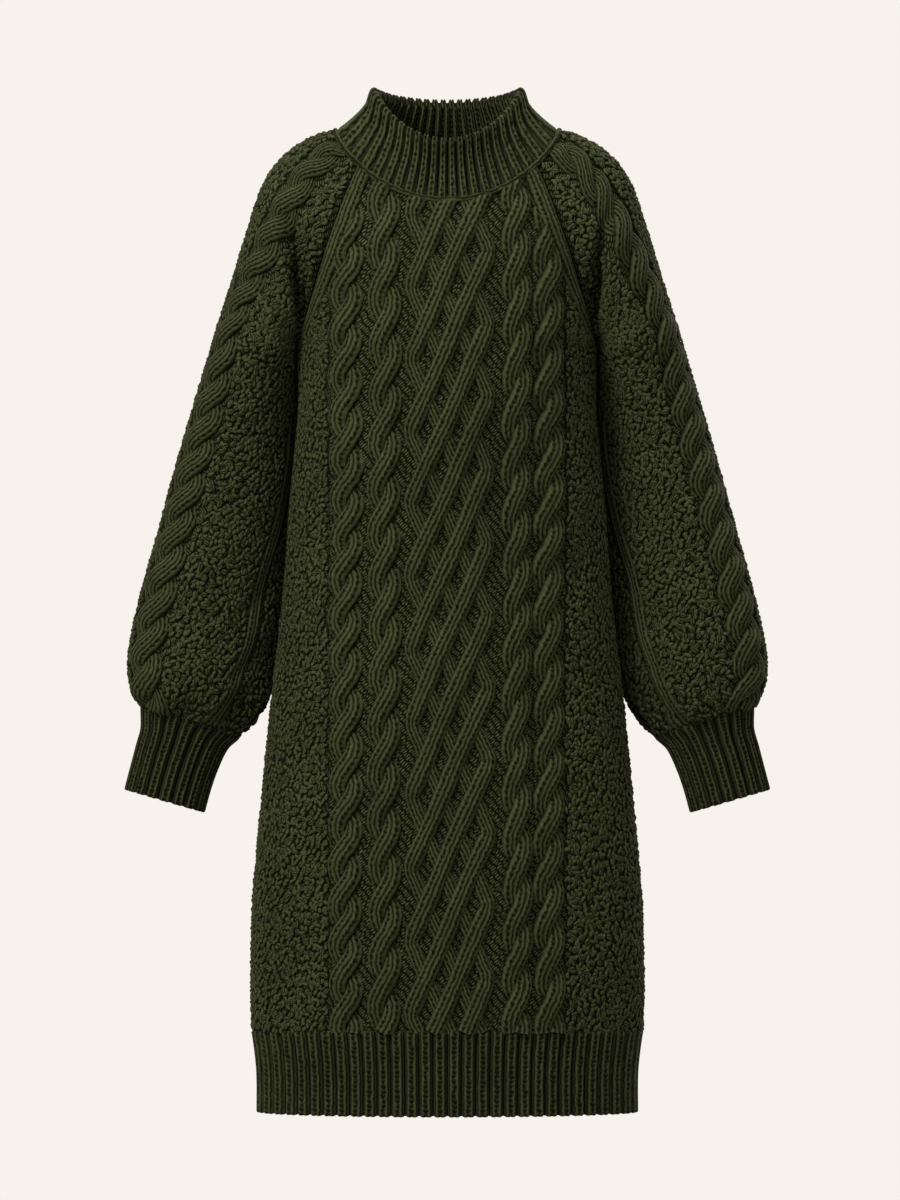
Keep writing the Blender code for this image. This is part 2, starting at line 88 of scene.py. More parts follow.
# outer x y z, inner x y z, front depth, back depth
ARM_ROWS = (
    (0.2375, 0.011, -0.218, 0.1505, 0.018, -0.243, 0.0645, 0.0650),
    (0.2460, 0.012, -0.246, 0.1478, 0.033, -0.270, 0.0635, 0.0645),
    (0.2550, 0.012, -0.276, 0.1475, 0.042, -0.300, 0.0630, 0.0645),
    (0.2640, 0.012, -0.307, 0.1485, 0.046, -0.331, 0.0630, 0.0645),
    (0.2735, 0.011, -0.340, 0.1507, 0.049, -0.363, 0.0635, 0.0650),
    (0.2825, 0.010, -0.373, 0.1532, 0.051, -0.395, 0.0640, 0.0655),
    (0.2915, 0.009, -0.406, 0.1558, 0.052, -0.427, 0.0650, 0.0665),
    (0.3005, 0.008, -0.438, 0.1586, 0.052, -0.459, 0.0660, 0.0675),
    (0.3090, 0.007, -0.470, 0.1620, 0.050, -0.491, 0.0670, 0.0685),
    (0.3155, 0.006, -0.500, 0.1662, 0.047, -0.520, 0.0680, 0.0695),
    (0.3195, 0.005, -0.527, 0.1720, 0.043, -0.545, 0.0670, 0.0690),
    (0.3190, 0.005, -0.545, 0.1780, 0.038, -0.563, 0.0640, 0.0660),
    (0.3155, 0.004, -0.558, 0.1865, 0.034, -0.580, 0.0580, 0.0600),
    (0.3105, 0.004, -0.567, 0.1975, 0.030, -0.594, 0.0485, 0.0500),
    (0.3065, 0.004, -0.573, 0.2090, 0.026, -0.605, 0.0390, 0.0390),
)
CUFF_ROWS = (
    (0.3065, 0.004, -0.5735, 0.2095, 0.026, -0.6055, 0.0385, 0.0385),
    (0.3062, 0.006, -0.591, 0.2205, 0.023, -0.616, 0.0350, 0.0350),
    (0.3115, 0.007, -0.613, 0.2300, 0.021, -0.636, 0.0335, 0.0335),
    (0.3170, 0.008, -0.634, 0.2370, 0.019, -0.656, 0.0330, 0.0330),
    (0.3225, 0.008, -0.655, 0.2430, 0.018, -0.678, 0.0335, 0.0335),
)
UNDERARM_ROW = len(SHOULDER_ROWS) - 1
BODY_STEPS = 18
LAST_BODY_ROW = UNDERARM_ROW + BODY_STEPS
LAST_ARM_ROW = UNDERARM_ROW + len(ARM_ROWS)

# ---------------------------------------------------------------- knitting sizes
STITCH = 0.0066          # one column of knit V stitches
ROW = 0.0048             # one row
GROUND_DROP = 0.0016     # the knitted ground lies this far under the solid's surface
SHELL = 0.0028           # thickness of the knitted ground
COLUMN_DEPTH = 0.0010    # how deep the valleys between knit columns are
RIB_WALL = 0.0062


# ---------------------------------------------------------------- small tools
def unit(v):
    return v / np.maximum(np.linalg.norm(v, axis=-1, keepdims=True), 1e-12)


def smooth(knots, values, at):
    """Cubic through a table's values, without overshoot at a level stretch."""
    knots = np.asarray(knots, dtype=float)
    values = np.asarray(values, dtype=float)
    slope = np.diff(values) / np.diff(knots)
    tangent = np.empty_like(values)
    tangent[0] = slope[0]
    tangent[-1] = slope[-1]
    tangent[1:-1] = 0.5 * (slope[1:] + slope[:-1])
    turning = slope[1:] * slope[:-1] <= 0.0
    tangent[1:-1][turning] = 0.0
    at = np.clip(at, knots[0], knots[-1])
    cell = np.clip(np.searchsorted(knots, at) - 1, 0, len(knots) - 2)
    span = knots[cell + 1] - knots[cell]
    f = (at - knots[cell]) / span
    low = (2 * f ** 3 - 3 * f ** 2 + 1) * values[cell] + (f ** 3 - 2 * f ** 2 + f) * span * tangent[cell]
    high = (3 * f ** 2 - 2 * f ** 3) * values[cell + 1] + (f ** 3 - f ** 2) * span * tangent[cell + 1]
    return low + high


def ramp(value, low, high):
    """0 below low, 1 above high, smooth between."""
    f = np.clip((value - low) / (high - low), 0.0, 1.0)
    return f * f * (3.0 - 2.0 * f)


def hump(value, middle, width):
    """A soft bump of height 1."""
    return np.exp(-((value - middle) / width) ** 2)


def full(a, b):
    """Two arrays spread to one shape."""
    a, b = np.broadcast_arrays(np.asarray(a, dtype=float), np.asarray(b, dtype=float))
    return a.copy(), b.copy()


def plane(us, vs):
    """Grid of coordinates: us along every row, vs from row to row."""
    return np.stack(np.meshgrid(us, vs), axis=-1)


def run_length(points, axis=0):
    """Length covered along a line of points, or along every row of a grid with axis 1."""
    step = np.linalg.norm(np.diff(points, axis=axis), axis=-1)
    return np.insert(np.cumsum(step, axis=axis), 0, 0.0, axis=axis)


def between(grid, row, column):
    """Reads a grid at fractional rows and columns."""
    i = np.minimum(row.astype(int), grid.shape[0] - 2)
    j = np.minimum(column.astype(int), grid.shape[1] - 2)
    a, b = row - i, column - j
    if grid.ndim == 3:
        a, b = a[..., None], b[..., None]
    return (grid[i, j] * (1 - a) * (1 - b) + grid[i + 1, j] * a * (1 - b)
            + grid[i, j + 1] * (1 - a) * b + grid[i + 1, j + 1] * a * b)


# ---------------------------------------------------------------- surfaces
def oval(angle, form):
    """A ring round the neck: angle 0 in front, highest at the sides."""
    wide, deep, mid_y, side_z, front_dip, back_dip, power = form
    ahead = np.clip(np.cos(angle), 0.0, 1.0) ** power
    behind = np.clip(-np.cos(angle), 0.0, 1.0) ** power
    z = side_z - front_dip * ahead - back_dip * behind
    return np.stack([wide * np.sin(angle), mid_y - deep * np.cos(angle), z], axis=-1)


def neckline(angle):
    return oval(angle, NECKLINE)


def neckline_out(angle):
    level = math.cos(NECK_OUT_LIFT)
    return np.stack([level * np.sin(angle), -level * np.cos(angle),
                     np.full_like(angle, math.sin(NECK_OUT_LIFT))], axis=-1)


def arm_table(source):
    return [(*r[:4], r[5], r[3], r[5], r[4], 180.0, *r[6:]) for r in source]


RINGS = np.array([(*r[:7], min(r[1], 0.0), *r[7:]) for r in SHOULDER_ROWS] + arm_table(ARM_ROWS))
CUFF_RINGS = np.array(arm_table(CUFF_ROWS))


def ring_point(table, row, share):
    knots = np.arange(len(table))
    ox, oy, oz, fx, fz, bx, bz, iy, opening, front_deep, back_deep = [
        smooth(knots, table[:, j], row) for j in range(table.shape[1])]
    opening = np.radians(opening)
    angle = np.abs(share) * opening
    travel = (1.0 - np.cos(angle)) / (1.0 - np.cos(opening))
    ahead = share < 0.0
    x = ox + (np.where(ahead, fx, bx) - ox) * travel
    z = oz + (np.where(ahead, fz, bz) - oz) * travel
    y = oy + (iy - oy) * travel + np.where(ahead, -front_deep, back_deep) * np.sin(angle)
    return np.stack([x, y, z], axis=-1)


def sleeve_neck_angles(share):
    front = FRONT_RAGLAN_ANGLE + (math.pi / 2 - FRONT_RAGLAN_ANGLE) * (1.0 + share)
    back = math.pi / 2 + (BACK_RAGLAN_ANGLE - math.pi / 2) * share
    return np.where(share < 0.0, front, back)


def neck_ease(row):
    return smooth(np.arange(len(NECK_EASE)), NECK_EASE, row)[..., None]


def sleeve_point(row, share):
    """The +X sleeve: row 0 at the collar, share -1 front edge, 0 on top, +1 back edge."""
    row, share = full(row, share)
    point = ring_point(RINGS, row, share)
    seam = neckline(sleeve_neck_angles(np.clip(share, -1, 1)))
    slip = seam - ring_point(RINGS, np.zeros_like(row), share)
    return point + slip * neck_ease(row)


def cuff_point(row, share):
    row, share = full(row, share)
    return ring_point(CUFF_RINGS, row, share)


def body_size(column, z):
    return smooth(-BODY_ROWS[:, 0], BODY_ROWS[:, column], -z)


def body_point(u, z, front):
    turn = u * math.pi / 2
    deep = body_size(2 if front else 3, z)
    y = deep * np.cos(turn) * (-1.0 if front else 1.0)
    return np.stack([body_size(1, z) * np.sin(turn), y, z], axis=-1)


def body_row(z):
    return UNDERARM_ROW + BODY_STEPS * (z - UNDERARM_Z) / (HEM_SEAM_Z - UNDERARM_Z)


def panel_point(row, u, front):
    """Front or back panel: row 0 at the collar, u -1 and +1 at its two sides."""
    row, u = full(row, u)
    corner = FRONT_RAGLAN_ANGLE if front else math.pi - BACK_RAGLAN_ANGLE
    side = -1.0 if front else 1.0
    yoke = np.clip(row, 0.0, UNDERARM_ROW)

    def formula(r):
        edge = sleeve_point(r, np.full_like(r, side))
        first = sleeve_point(np.zeros(1), np.full(1, side))[0]
        last = sleeve_point(np.full(1, UNDERARM_ROW), np.full(1, side))[0]
        drop = (edge[..., 2] - first[2]) / (last[2] - first[2])
        top_z = neckline(np.array([0.0 if front else math.pi]))[0, 2]
        centre_z = top_z + (UNDERARM_Z - top_z) * drop
        centre_y = smooth(CENTRE_ROWS[:, 0], CENTRE_ROWS[:, 1 if front else 2], drop)
        turn = corner + (math.pi / 2 - corner) * drop
        along = (np.cos(u * turn) - np.cos(turn)) / (1.0 - np.cos(turn))
        x = edge[..., 0] * np.sin(u * turn) / np.sin(turn)
        y = edge[..., 1] + (centre_y - edge[..., 1]) * along
        z = edge[..., 2] + (centre_z - edge[..., 2]) * along
        return np.stack([x, y, z], axis=-1)

    seam = neckline(u * corner if front else math.pi - u * corner)
    high = formula(yoke) + (seam - formula(np.zeros_like(yoke))) * neck_ease(yoke)
    z = UNDERARM_Z + (row - UNDERARM_ROW) / BODY_STEPS * (HEM_SEAM_Z - UNDERARM_Z)
    low = body_point(u, z, front)
    return np.where((row <= UNDERARM_ROW)[..., None], high, low)


def outward(point, row, share, sign=1.0, step=0.004, last=1e9):
    """Outward direction of a surface given by its point function."""
    row, share = full(row, share)
    before = np.maximum(row - step * 4, 0.0)
    after = np.minimum(row + step * 4, last)
    down = point(after, share) - point(before, share)
    across = point(row, share + step) - point(row, share - step)
    return unit(np.cross(down, across)) * sign


def panel_outward(row, u, front):
    return outward(lambda r, c: panel_point(r, c, front), row, u, 1.0 if front else -1.0,
                   last=LAST_BODY_ROW)


SEAM_ROWS = np.linspace(0.0, UNDERARM_ROW, 161)


def seam_directions(front):
    """Outward direction shared by a panel and the +X sleeve along their raglan seam."""
    side = np.full_like(SEAM_ROWS, -1.0 if front else 1.0)
    panel = panel_outward(SEAM_ROWS, np.ones_like(SEAM_ROWS), front)
    return unit(panel + outward(sleeve_point, SEAM_ROWS, side, last=LAST_ARM_ROW))


SEAM_OUT = {front: seam_directions(front) for front in (True, False)}


def seam_out(row, front):
    table = SEAM_OUT[front]
    return np.stack([np.interp(row, SEAM_ROWS, table[:, k]) for k in range(3)], axis=-1)


def bend_to_seam(out, shared, row, share):
    """Bends an outward direction towards the shared one close to the raglan seam."""
    near = ramp(np.abs(share), 0.90, 1.0) * (1.0 - ramp(row, UNDERARM_ROW - 1.0, UNDERARM_ROW))
    return unit(out + (shared - out) * near[..., None])


def panel_out(row, u, front):
    row, u = full(row, u)
    shared = seam_out(row, front)
    shared[..., 0] *= np.where(u < 0.0, -1.0, 1.0)
    return bend_to_seam(panel_outward(row, u, front), shared, row, u)


def sleeve_out(row, share):
    row, share = full(row, share)
    out = outward(sleeve_point, row, share, last=LAST_ARM_ROW)
    shared = np.where((share < 0.0)[..., None], seam_out(row, True), seam_out(row, False))
    return bend_to_seam(out, shared, row, share)


class Table:
    """Places and outward directions of a surface, worked out once and read between."""

    def __init__(self, point, out, last_row, per_row, columns):
        self.rows = np.linspace(0.0, last_row, last_row * per_row + 1)
        self.shares = np.linspace(-1.0, 1.0, columns)
        r, c = np.meshgrid(self.rows, self.shares, indexing="ij")
        self.place = point(r, c)
        self.out = out(r, c)

    def at(self, row, share):
        row, share = full(row, share)
        fr = np.clip(row / self.rows[-1], 0.0, 1.0) * (len(self.rows) - 1)
        fs = np.clip((share + 1.0) / 2.0, 0.0, 1.0) * (len(self.shares) - 1)
        return between(self.place, fr, fs), unit(between(self.out, fr, fs))


PANEL_PER_ROW = 12
PANEL_MIDDLE = 80        # the column of a panel's table at u 0
PANEL_SIDE = 144         # and at u 0.8, among the moss stitches
PANELS = {front: Table(lambda r, c: panel_point(r, c, front), lambda r, c: panel_out(r, c, front),
                       LAST_BODY_ROW, PANEL_PER_ROW, 2 * PANEL_MIDDLE + 1)
          for front in (True, False)}
SLEEVE = Table(sleeve_point, sleeve_out, LAST_ARM_ROW, 16, 193)


class Yoke:
    """Finds the place of the yoke seen at x, z."""

    def __init__(self, table):
        count = int(round(UNDERARM_ROW * (len(table.rows) - 1) / table.rows[-1])) + 1
        self.rows = table.rows[:count]
        self.xs = np.linspace(-0.150, 0.150, 241)
        place = table.place[:count]
        self.z = np.array([np.interp(self.xs, line[:, 0], line[:, 2]) for line in place])
        self.u = np.array([np.interp(self.xs, line[:, 0], table.shares) for line in place])

    def find(self, x, z):
        f = np.clip((x - self.xs[0]) / (self.xs[-1] - self.xs[0]), 0.0, 1.0) * (len(self.xs) - 1)
        j = np.minimum(f.astype(int), len(self.xs) - 2)
        f = f - j
        level = self.z[:, j] * (1 - f) + self.z[:, j + 1] * f
        share = self.u[:, j] * (1 - f) + self.u[:, j + 1] * f
        i = np.clip((level > z[None, :]).sum(axis=0) - 1, 0, len(self.rows) - 2)
        n = np.arange(len(x))
        gap = level[i, n] - level[i + 1, n]
        part = np.clip((level[i, n] - z) / np.maximum(gap, 1e-6), -20.0, 1.0)
        row = self.rows[i] + part * (self.rows[1] - self.rows[0])
        return row, share[i, n] + (share[i + 1, n] - share[i, n]) * np.clip(part, 0.0, 1.0)


YOKES = {front: Yoke(PANELS[front]) for front in (True, False)}


def locate(x, z, front):
    """Row and u of the panel's place seen at x, z."""
    x, z = full(x, z)
    row = body_row(z)
    u = np.arcsin(np.clip(x / body_size(1, np.minimum(z, UNDERARM_Z)), -1.0, 1.0)) * 2.0 / math.pi
    high = z > UNDERARM_Z
    if high.any():
        row[high], u[high] = YOKES[front].find(x[high], z[high])
    return row, u


# ---------------------------------------------------------------- creases
# row, share, length in rows, width in share, lean, height
PANEL_FOLDS = (
    (13.4, -0.62, 1.1, 0.10, 0.05, 0.0022), (14.4, -0.55, 1.3, 0.08, 0.06, -0.0024),
    (13.9, 0.60, 1.4, 0.09, -0.05, 0.0020), (15.2, 0.66, 1.2, 0.08, -0.07, -0.0022),
    (20.2, 0.42, 2.2, 0.13, 0.00, -0.0018), (22.0, -0.36, 2.6, 0.12, 0.00, 0.0016),
)
SLEEVE_FOLDS = (
    (22.3, -0.93, 1.5, 0.055, 0.02, -0.0050), (22.6, -0.82, 1.9, 0.060, 0.03, 0.0042),
    (22.9, -0.70, 1.7, 0.050, 0.03, -0.0046), (22.7, -0.58, 1.8, 0.055, 0.02, 0.0034),
    (23.0, -0.47, 1.5, 0.045, 0.02, -0.0036), (22.9, -0.36, 1.6, 0.050, 0.01, 0.0030),
    (23.2, -0.25, 1.3, 0.045, 0.01, -0.0030), (23.0, -0.13, 1.4, 0.055, 0.00, 0.0026),
    (23.2, 0.00, 1.3, 0.050, 0.00, -0.0028), (22.9, 0.12, 1.7, 0.055, -0.01, 0.0030),
    (23.0, 0.24, 1.5, 0.048, -0.01, -0.0036), (22.8, 0.36, 1.8, 0.055, -0.02, 0.0034),
    (22.9, 0.49, 1.4, 0.050, -0.02, -0.0040), (22.6, 0.61, 1.9, 0.060, -0.03, 0.0040),
    (22.8, 0.74, 1.6, 0.052, -0.03, -0.0046), (22.5, 0.86, 1.7, 0.055, -0.02, 0.0038),
    (18.6, -0.66, 1.3, 0.070, 0.09, -0.0030), (19.6, -0.52, 1.5, 0.075, 0.08, 0.0024),
    (20.6, -0.70, 1.1, 0.065, 0.10, -0.0032), (15.4, -0.60, 1.6, 0.080, 0.07, 0.0020),
    (13.6, -0.72, 1.3, 0.070, 0.08, -0.0024), (12.2, -0.55, 1.4, 0.080, 0.10, 0.0018),
    (18.9, 0.58, 1.4, 0.070, -0.08, -0.0032), (20.1, 0.45, 1.4, 0.080, -0.09, 0.0026),
    (16.0, 0.62, 1.5, 0.080, -0.08, 0.0022), (14.2, 0.52, 1.3, 0.070, -0.09, -0.0026),
    (12.4, 0.64, 1.5, 0.080, -0.07, 0.0020), (21.0, 0.20, 1.6, 0.090, 0.03, 0.0018),
)
# deep soft folds running from the shoulder down into the armhole, front then back
ARMHOLE_FOLDS = (
    (6.9, -0.845, 1.6, 0.105, -0.125, -0.0230), (6.4, -0.640, 1.7, 0.10, -0.11, 0.0040),
    (9.3, -0.960, 1.0, 0.085, 0.0, -0.0040), (10.6, -0.985, 0.7, 0.120, 0.0, 0.0022),
    (6.7, 0.820, 1.6, 0.105, 0.125, -0.0150), (6.3, 0.620, 1.7, 0.10, 0.11, 0.0030),
)


def add_folds(depth, folds, row, share, turn=0.0):
    """turn shifts the folds a little, so that the two sleeves differ."""
    for at, middle, long, wide, lean, height in folds:
        line = middle + 0.02 * turn + lean * (row - at)
        soft = hump(row, at + 0.15 * turn, long)
        depth += height * (1.0 - 0.12 * turn) * soft * hump(share, line, wide)


def panel_crease(row, u, front):
    """Soft folds of a hanging panel, metres out of the form."""
    z = -0.07 - 0.0379 * (row - 6.0)
    v = u if front else -u
    low = ramp(row, 14.0, 27.0)
    depth = 0.0016 * low * np.sin(2.1 * math.pi * (v + 0.13) + 1.1 * z)
    depth += 0.0011 * low * np.sin(3.7 * math.pi * (v - 0.21) - 0.8 * z)
    add_folds(depth, PANEL_FOLDS, row, v)
    return depth


def sleeve_crease(row, share, turn):
    """Folds of the balloon sleeve."""
    depth = np.zeros_like(row)
    add_folds(depth, SLEEVE_FOLDS, row, share, turn)
    inside = ramp(np.abs(share), 0.80, 0.93) * (1.0 - ramp(row, 20.5, 22.0))
    depth *= 1.0 - inside
    for at, middle, long, wide, lean, height in ARMHOLE_FOLDS:
        away = np.abs(share - (middle + lean * (row - at)))
        away = np.where(row > UNDERARM_ROW, np.minimum(away, 2.0 - away), away)
        at_seam = ramp(np.abs(share), 0.92, 1.0) * (1.0 - ramp(row, UNDERARM_ROW, UNDERARM_ROW + 1.0))
        deep = height * (1.0 + 0.10 * turn) * hump(row, at, long)
        depth += deep * hump(away, 0.0, wide) * (1.0 - at_seam)
    return depth


# ---------------------------------------------------------------- meshes
def turned_over(part):
    return tuple(grid[:, ::-1] for grid in part)


def cells(number, stitch, bake, turned=False):
    """Every cell of a grid as a face: its vertex numbers and its two coordinates."""
    part = []
    for grid in (number, stitch, bake):
        corners = np.stack([grid[:-1, :-1], grid[1:, :-1], grid[1:, 1:], grid[:-1, 1:]], axis=2)
        part.append(corners.reshape(-1, 4, *grid.shape[2:]))
    return turned_over(part) if turned else tuple(part)


class Gather:
    """Collects parts of one mesh. A part holds faces, stitch and bake coordinates in step."""

    def __init__(self):
        self.verts, self.parts, self.zone = [], [], []
        self.count = 0

    def add(self, verts, parts, zone=0.0):
        """Adds the vertices that the parts use."""
        zone = np.broadcast_to(zone, verts.shape[:-1]).ravel()
        verts = verts.reshape(-1, 3)
        used = np.zeros(len(verts), dtype=bool)
        for faces, _, _ in parts:
            used[faces] = True
        number = self.count + np.cumsum(used) - 1
        self.parts += [(number[faces], stitch, bake) for faces, stitch, bake in parts]
        self.verts.append(verts[used])
        self.zone.append(zone[used])
        self.count += len(self.verts[-1])

    def piece(self, name, material, flip=False):
        """The mesh as an object; flip mirrors it to the other side of the dress."""
        verts = np.concatenate(self.verts) * np.array([-1.0 if flip else 1.0, 1.0, 1.0])
        faces, *charts = zip(*(map(turned_over, self.parts) if flip else self.parts))
        mesh = bpy.data.meshes.new(name)
        mesh.vertices.add(len(verts))
        mesh.vertices.foreach_set("co", verts.astype(np.float32).ravel())
        corners = np.concatenate([f.ravel() for f in faces]).astype(np.int32)
        sizes = np.concatenate([np.full(len(f), f.shape[1]) for f in faces])
        mesh.loops.add(len(corners))
        mesh.loops.foreach_set("vertex_index", corners)
        mesh.polygons.add(len(sizes))
        mesh.polygons.foreach_set("loop_start", (np.cumsum(sizes) - sizes).astype(np.int32))
        mesh.update(calc_edges=True)
        for key, chart in zip(("stitch", "OFBake"), charts):
            flat = np.concatenate([c.reshape(-1, 2) for c in chart]).astype(np.float32)
            mesh.uv_layers.new(name=key).data.foreach_set("uv", flat.ravel())
        # zone holds painted shade per vertex: the wool darkens its colour by it, and a negative value paints
        # light
        attribute = mesh.attributes.new("zone", "FLOAT", "POINT")
        attribute.data.foreach_set("value", np.concatenate(self.zone).astype(np.float32))
        mesh.shade_smooth()
        mesh.materials.append(material)
        piece = bpy.data.objects.new(name, mesh)
        bpy.context.collection.objects.link(piece)
        return piece


def shell(gather, outer, inner, stitch, zone, stride, closed_from=None):
    """A closed thin shell: fine outer grid, coarser inner grid, rims between them.

    closed_from is the first row whose first and last columns are one and the same.
    """
    rows, cols = outer.shape[:2]
    coarse = np.ix_(np.arange(0, rows, stride), np.arange(0, cols, stride))
    inner = inner[coarse]
    rows_in, cols_in = inner.shape[:2]
    number = np.arange(rows * cols).reshape(rows, cols)
    number_in = rows * cols + np.arange(rows_in * cols_in).reshape(rows_in, cols_in)
    last, last_in = rows - 1, rows_in - 1
    if closed_from is not None:
        last, last_in = closed_from, closed_from // stride
        number[last:, -1] = number[last:, 0]
        number_in[last_in:, -1] = number_in[last_in:, 0]
    bake = plane(np.linspace(0.02, 0.98, cols), np.linspace(0.98, 0.34, rows))
    bake_in = plane(np.linspace(0.02, 0.98, cols_in), np.linspace(0.31, 0.02, rows_in))
    parts = [cells(number, stitch, bake), cells(number_in, stitch[coarse], bake_in, True)]
    ends, ends_in = np.s_[:last + 1], np.s_[:last_in + 1]
    for line, line_in, turned in ((0, 0, False), (-1, -1, True), ((ends, 0), (ends_in, 0), True),
                                  ((ends, -1), (ends_in, -1), False)):
        for i in range(len(number_in[line_in]) - 1):
            at = list(range(i * stride, (i + 1) * stride + 1))
            ids = np.append(number[line][at], number_in[line_in][[i + 1, i]])
            at += [at[-1], at[0]]
            part = (ids[None], stitch[line][at][None], bake[line][at][None])
            parts.append(turned_over(part) if turned else part)
    verts = np.concatenate([outer.reshape(-1, 3), inner.reshape(-1, 3)])
    gather.add(verts, parts, np.concatenate([zone.ravel(), zone[coarse].ravel()]))


STRAND_ROW = 0.0058      # a raised strand is stretched over the ground, so its rows are longer
FLANK = 0.965            # share of the half width where the side of a strand turns down
BURIED = 0.0012          # a strand runs out this far under the ground


def strand(gather, surface, s, t, half, lift, thick, columns, strip, strips, phase=0.0, side=1.0):
    """A raised band of knit columns along a path s, t on a surface.

    surface gives place, outward and how far inside the piece each spot is (0 out, 1 well in).
    """
    ds = np.gradient(s)
    dt = np.gradient(t)
    length = np.hypot(ds, dt)
    across_s = -dt / length * side
    across_t = ds / length * side
    share = np.linspace(-1.0, 1.0, 4 * columns + 1)
    share = np.concatenate([share[:1], [-FLANK], share[1:-1], [FLANK], share[-1:]])
    turn = np.arcsin(share)
    offset = share * half[:, None]
    place_s = s[:, None] + across_s[:, None] * offset
    place_t = t[:, None] + across_t[:, None] * offset
    place, out, inside = surface(place_s, place_t)
    count = (share + 1.0) / 2.0 * columns
    lobes = COLUMN_DEPTH * (np.abs(np.sin(math.pi * count)) ** 0.7 - 0.75)
    height = lift[:, None] + thick[:, None] * (np.cos(turn) - 1.0) + lobes
    sunk = -GROUND_DROP - BURIED
    height = np.where(inside < 1.0, sunk + (height - sunk) * inside, height)
    height = np.maximum(height, lift[:, None] - thick[:, None])
    points = place + out * height[..., None]
    keep = np.nonzero(inside.max(axis=1) > 0.0)[0]
    if len(keep) < 4:
        return
    keep = np.s_[keep[0]:keep[-1] + 1]
    points = points[keep]
    # Painted shade: the zone is 1 on a strand's flanks, and up to 0.6 along a strand where it runs low under
    # the other at a crossing.
    flank = ramp(np.abs(share), 0.94, 1.0)
    under = 0.60 * ramp(-lift, -0.0004, 0.0030)
    zone = np.maximum(flank[None, :], under[:, None])[keep]
    along = (np.cumsum(length) / STRAND_ROW)[keep] + phase
    n, m = points.shape[:2]
    number = np.arange(n * m).reshape(n, m)
    wrapped = np.concatenate([number, number[:, :1]], axis=1)
    stitch = plane(np.append(count, columns + 0.5), along)
    run = (along - along[0]) / (along[-1] - along[0])
    cell = 0.98 / strips
    bake = plane(0.01 + cell * (strip + np.linspace(0.03, 0.93, m + 1)), 0.01 + 0.98 * run)
    parts = [cells(wrapped, stitch, bake, True),
             (number[:1], stitch[:1, :m], bake[:1, :m]),
             turned_over((number[-1:], stitch[-1:, :m], bake[-1:, :m]))]
    if side < 0.0:
        parts = [turned_over(part) for part in parts]
    gather.add(points, parts, zone)


def lumps(gather, place, out, along, shape, bake, sides, scale):
    """Raised moss stitches: small bent domes sitting in the ground.

    shape holds, for each, half length, half width, height, bend and 1 where it is a looped stitch.
    """
    long, wide, tall, bend, looped = shape
    n = len(place)
    side = unit(np.cross(out, along))
    turn = np.linspace(0, 2 * math.pi, sides, endpoint=False)
    radius = np.concatenate([np.full(sides, 1.0), np.full(sides, 0.80), [0.0]])
    level = np.concatenate([np.full(sides, -0.40), np.full(sides, 0.62), [1.0]])
    cx = np.concatenate([np.cos(turn), np.cos(turn), [0.0]]) * radius
    cy = np.concatenate([np.sin(turn), np.sin(turn), [0.0]]) * radius
    local_x = cx[None, :] * long[:, None]
    local_y = cy[None, :] * wide[:, None] + bend[:, None] * (cx[None, :] ** 2 - 0.35)
    raised = (level[None, :] * tall[:, None])[..., None]
    points = (place[:, None, :] + along[:, None, :] * local_x[..., None]
              + side[:, None, :] * local_y[..., None] + out[:, None, :] * raised)
    per = 2 * sides + 1
    j = np.arange(sides)
    k = (j + 1) % sides
    quads = np.stack([j, k, k + sides, j + sides], axis=-1)
    tris = np.stack([j + sides, k + sides, np.full(sides, 2 * sides)], axis=-1)
    base = (np.arange(n) * per)[:, None, None]
    q = (quads[None] + base).reshape(-1, 4)
    t = (tris[None] + base).reshape(-1, 3)
    local = np.stack([cx[None, :] + 4.0 * looped[:, None], np.broadcast_to(cy, (n, per))], axis=-1)
    chart = bake[:, None, :] + np.stack([local_x * scale[0], local_y * scale[1]], axis=-1)
    local, chart = local.reshape(-1, 2), chart.reshape(-1, 2)
    # the base ring, under the ground, gets zone 1: painted shade at the foot of each lump
    gather.add(points, [(f, local[f], chart[f]) for f in (q, t)], np.where(level < 0.0, 1.0, 0.0))


# ---------------------------------------------------------------- materials
class Value:
    """The output of a node. Arithmetic on it adds nodes to the tree."""

    def __init__(self, nodes, socket):
        self.nodes, self.socket = nodes, socket

    def math(self, operation, other=0.0):
        return self.nodes.math(operation, self, other)

    def __add__(self, other):
        return self.math("ADD", other)

    def __sub__(self, other):
        return self.math("SUBTRACT", other)

    def __rsub__(self, other):
        return self.nodes.math("SUBTRACT", other, self)

    def __mul__(self, other):
        return self.math("MULTIPLY", other)

    def fit(self, a, b, c, d):
        """From the range a to b to the range c to d."""
        n = self.nodes.node("ShaderNodeMapRange")
        self.nodes.link(self, n.inputs["Value"])
        for key, number in (("From Min", a), ("From Max", b), ("To Min", c), ("To Max", d)):
            n.inputs[key].default_value = number
        return Value(self.nodes, n.outputs["Result"])


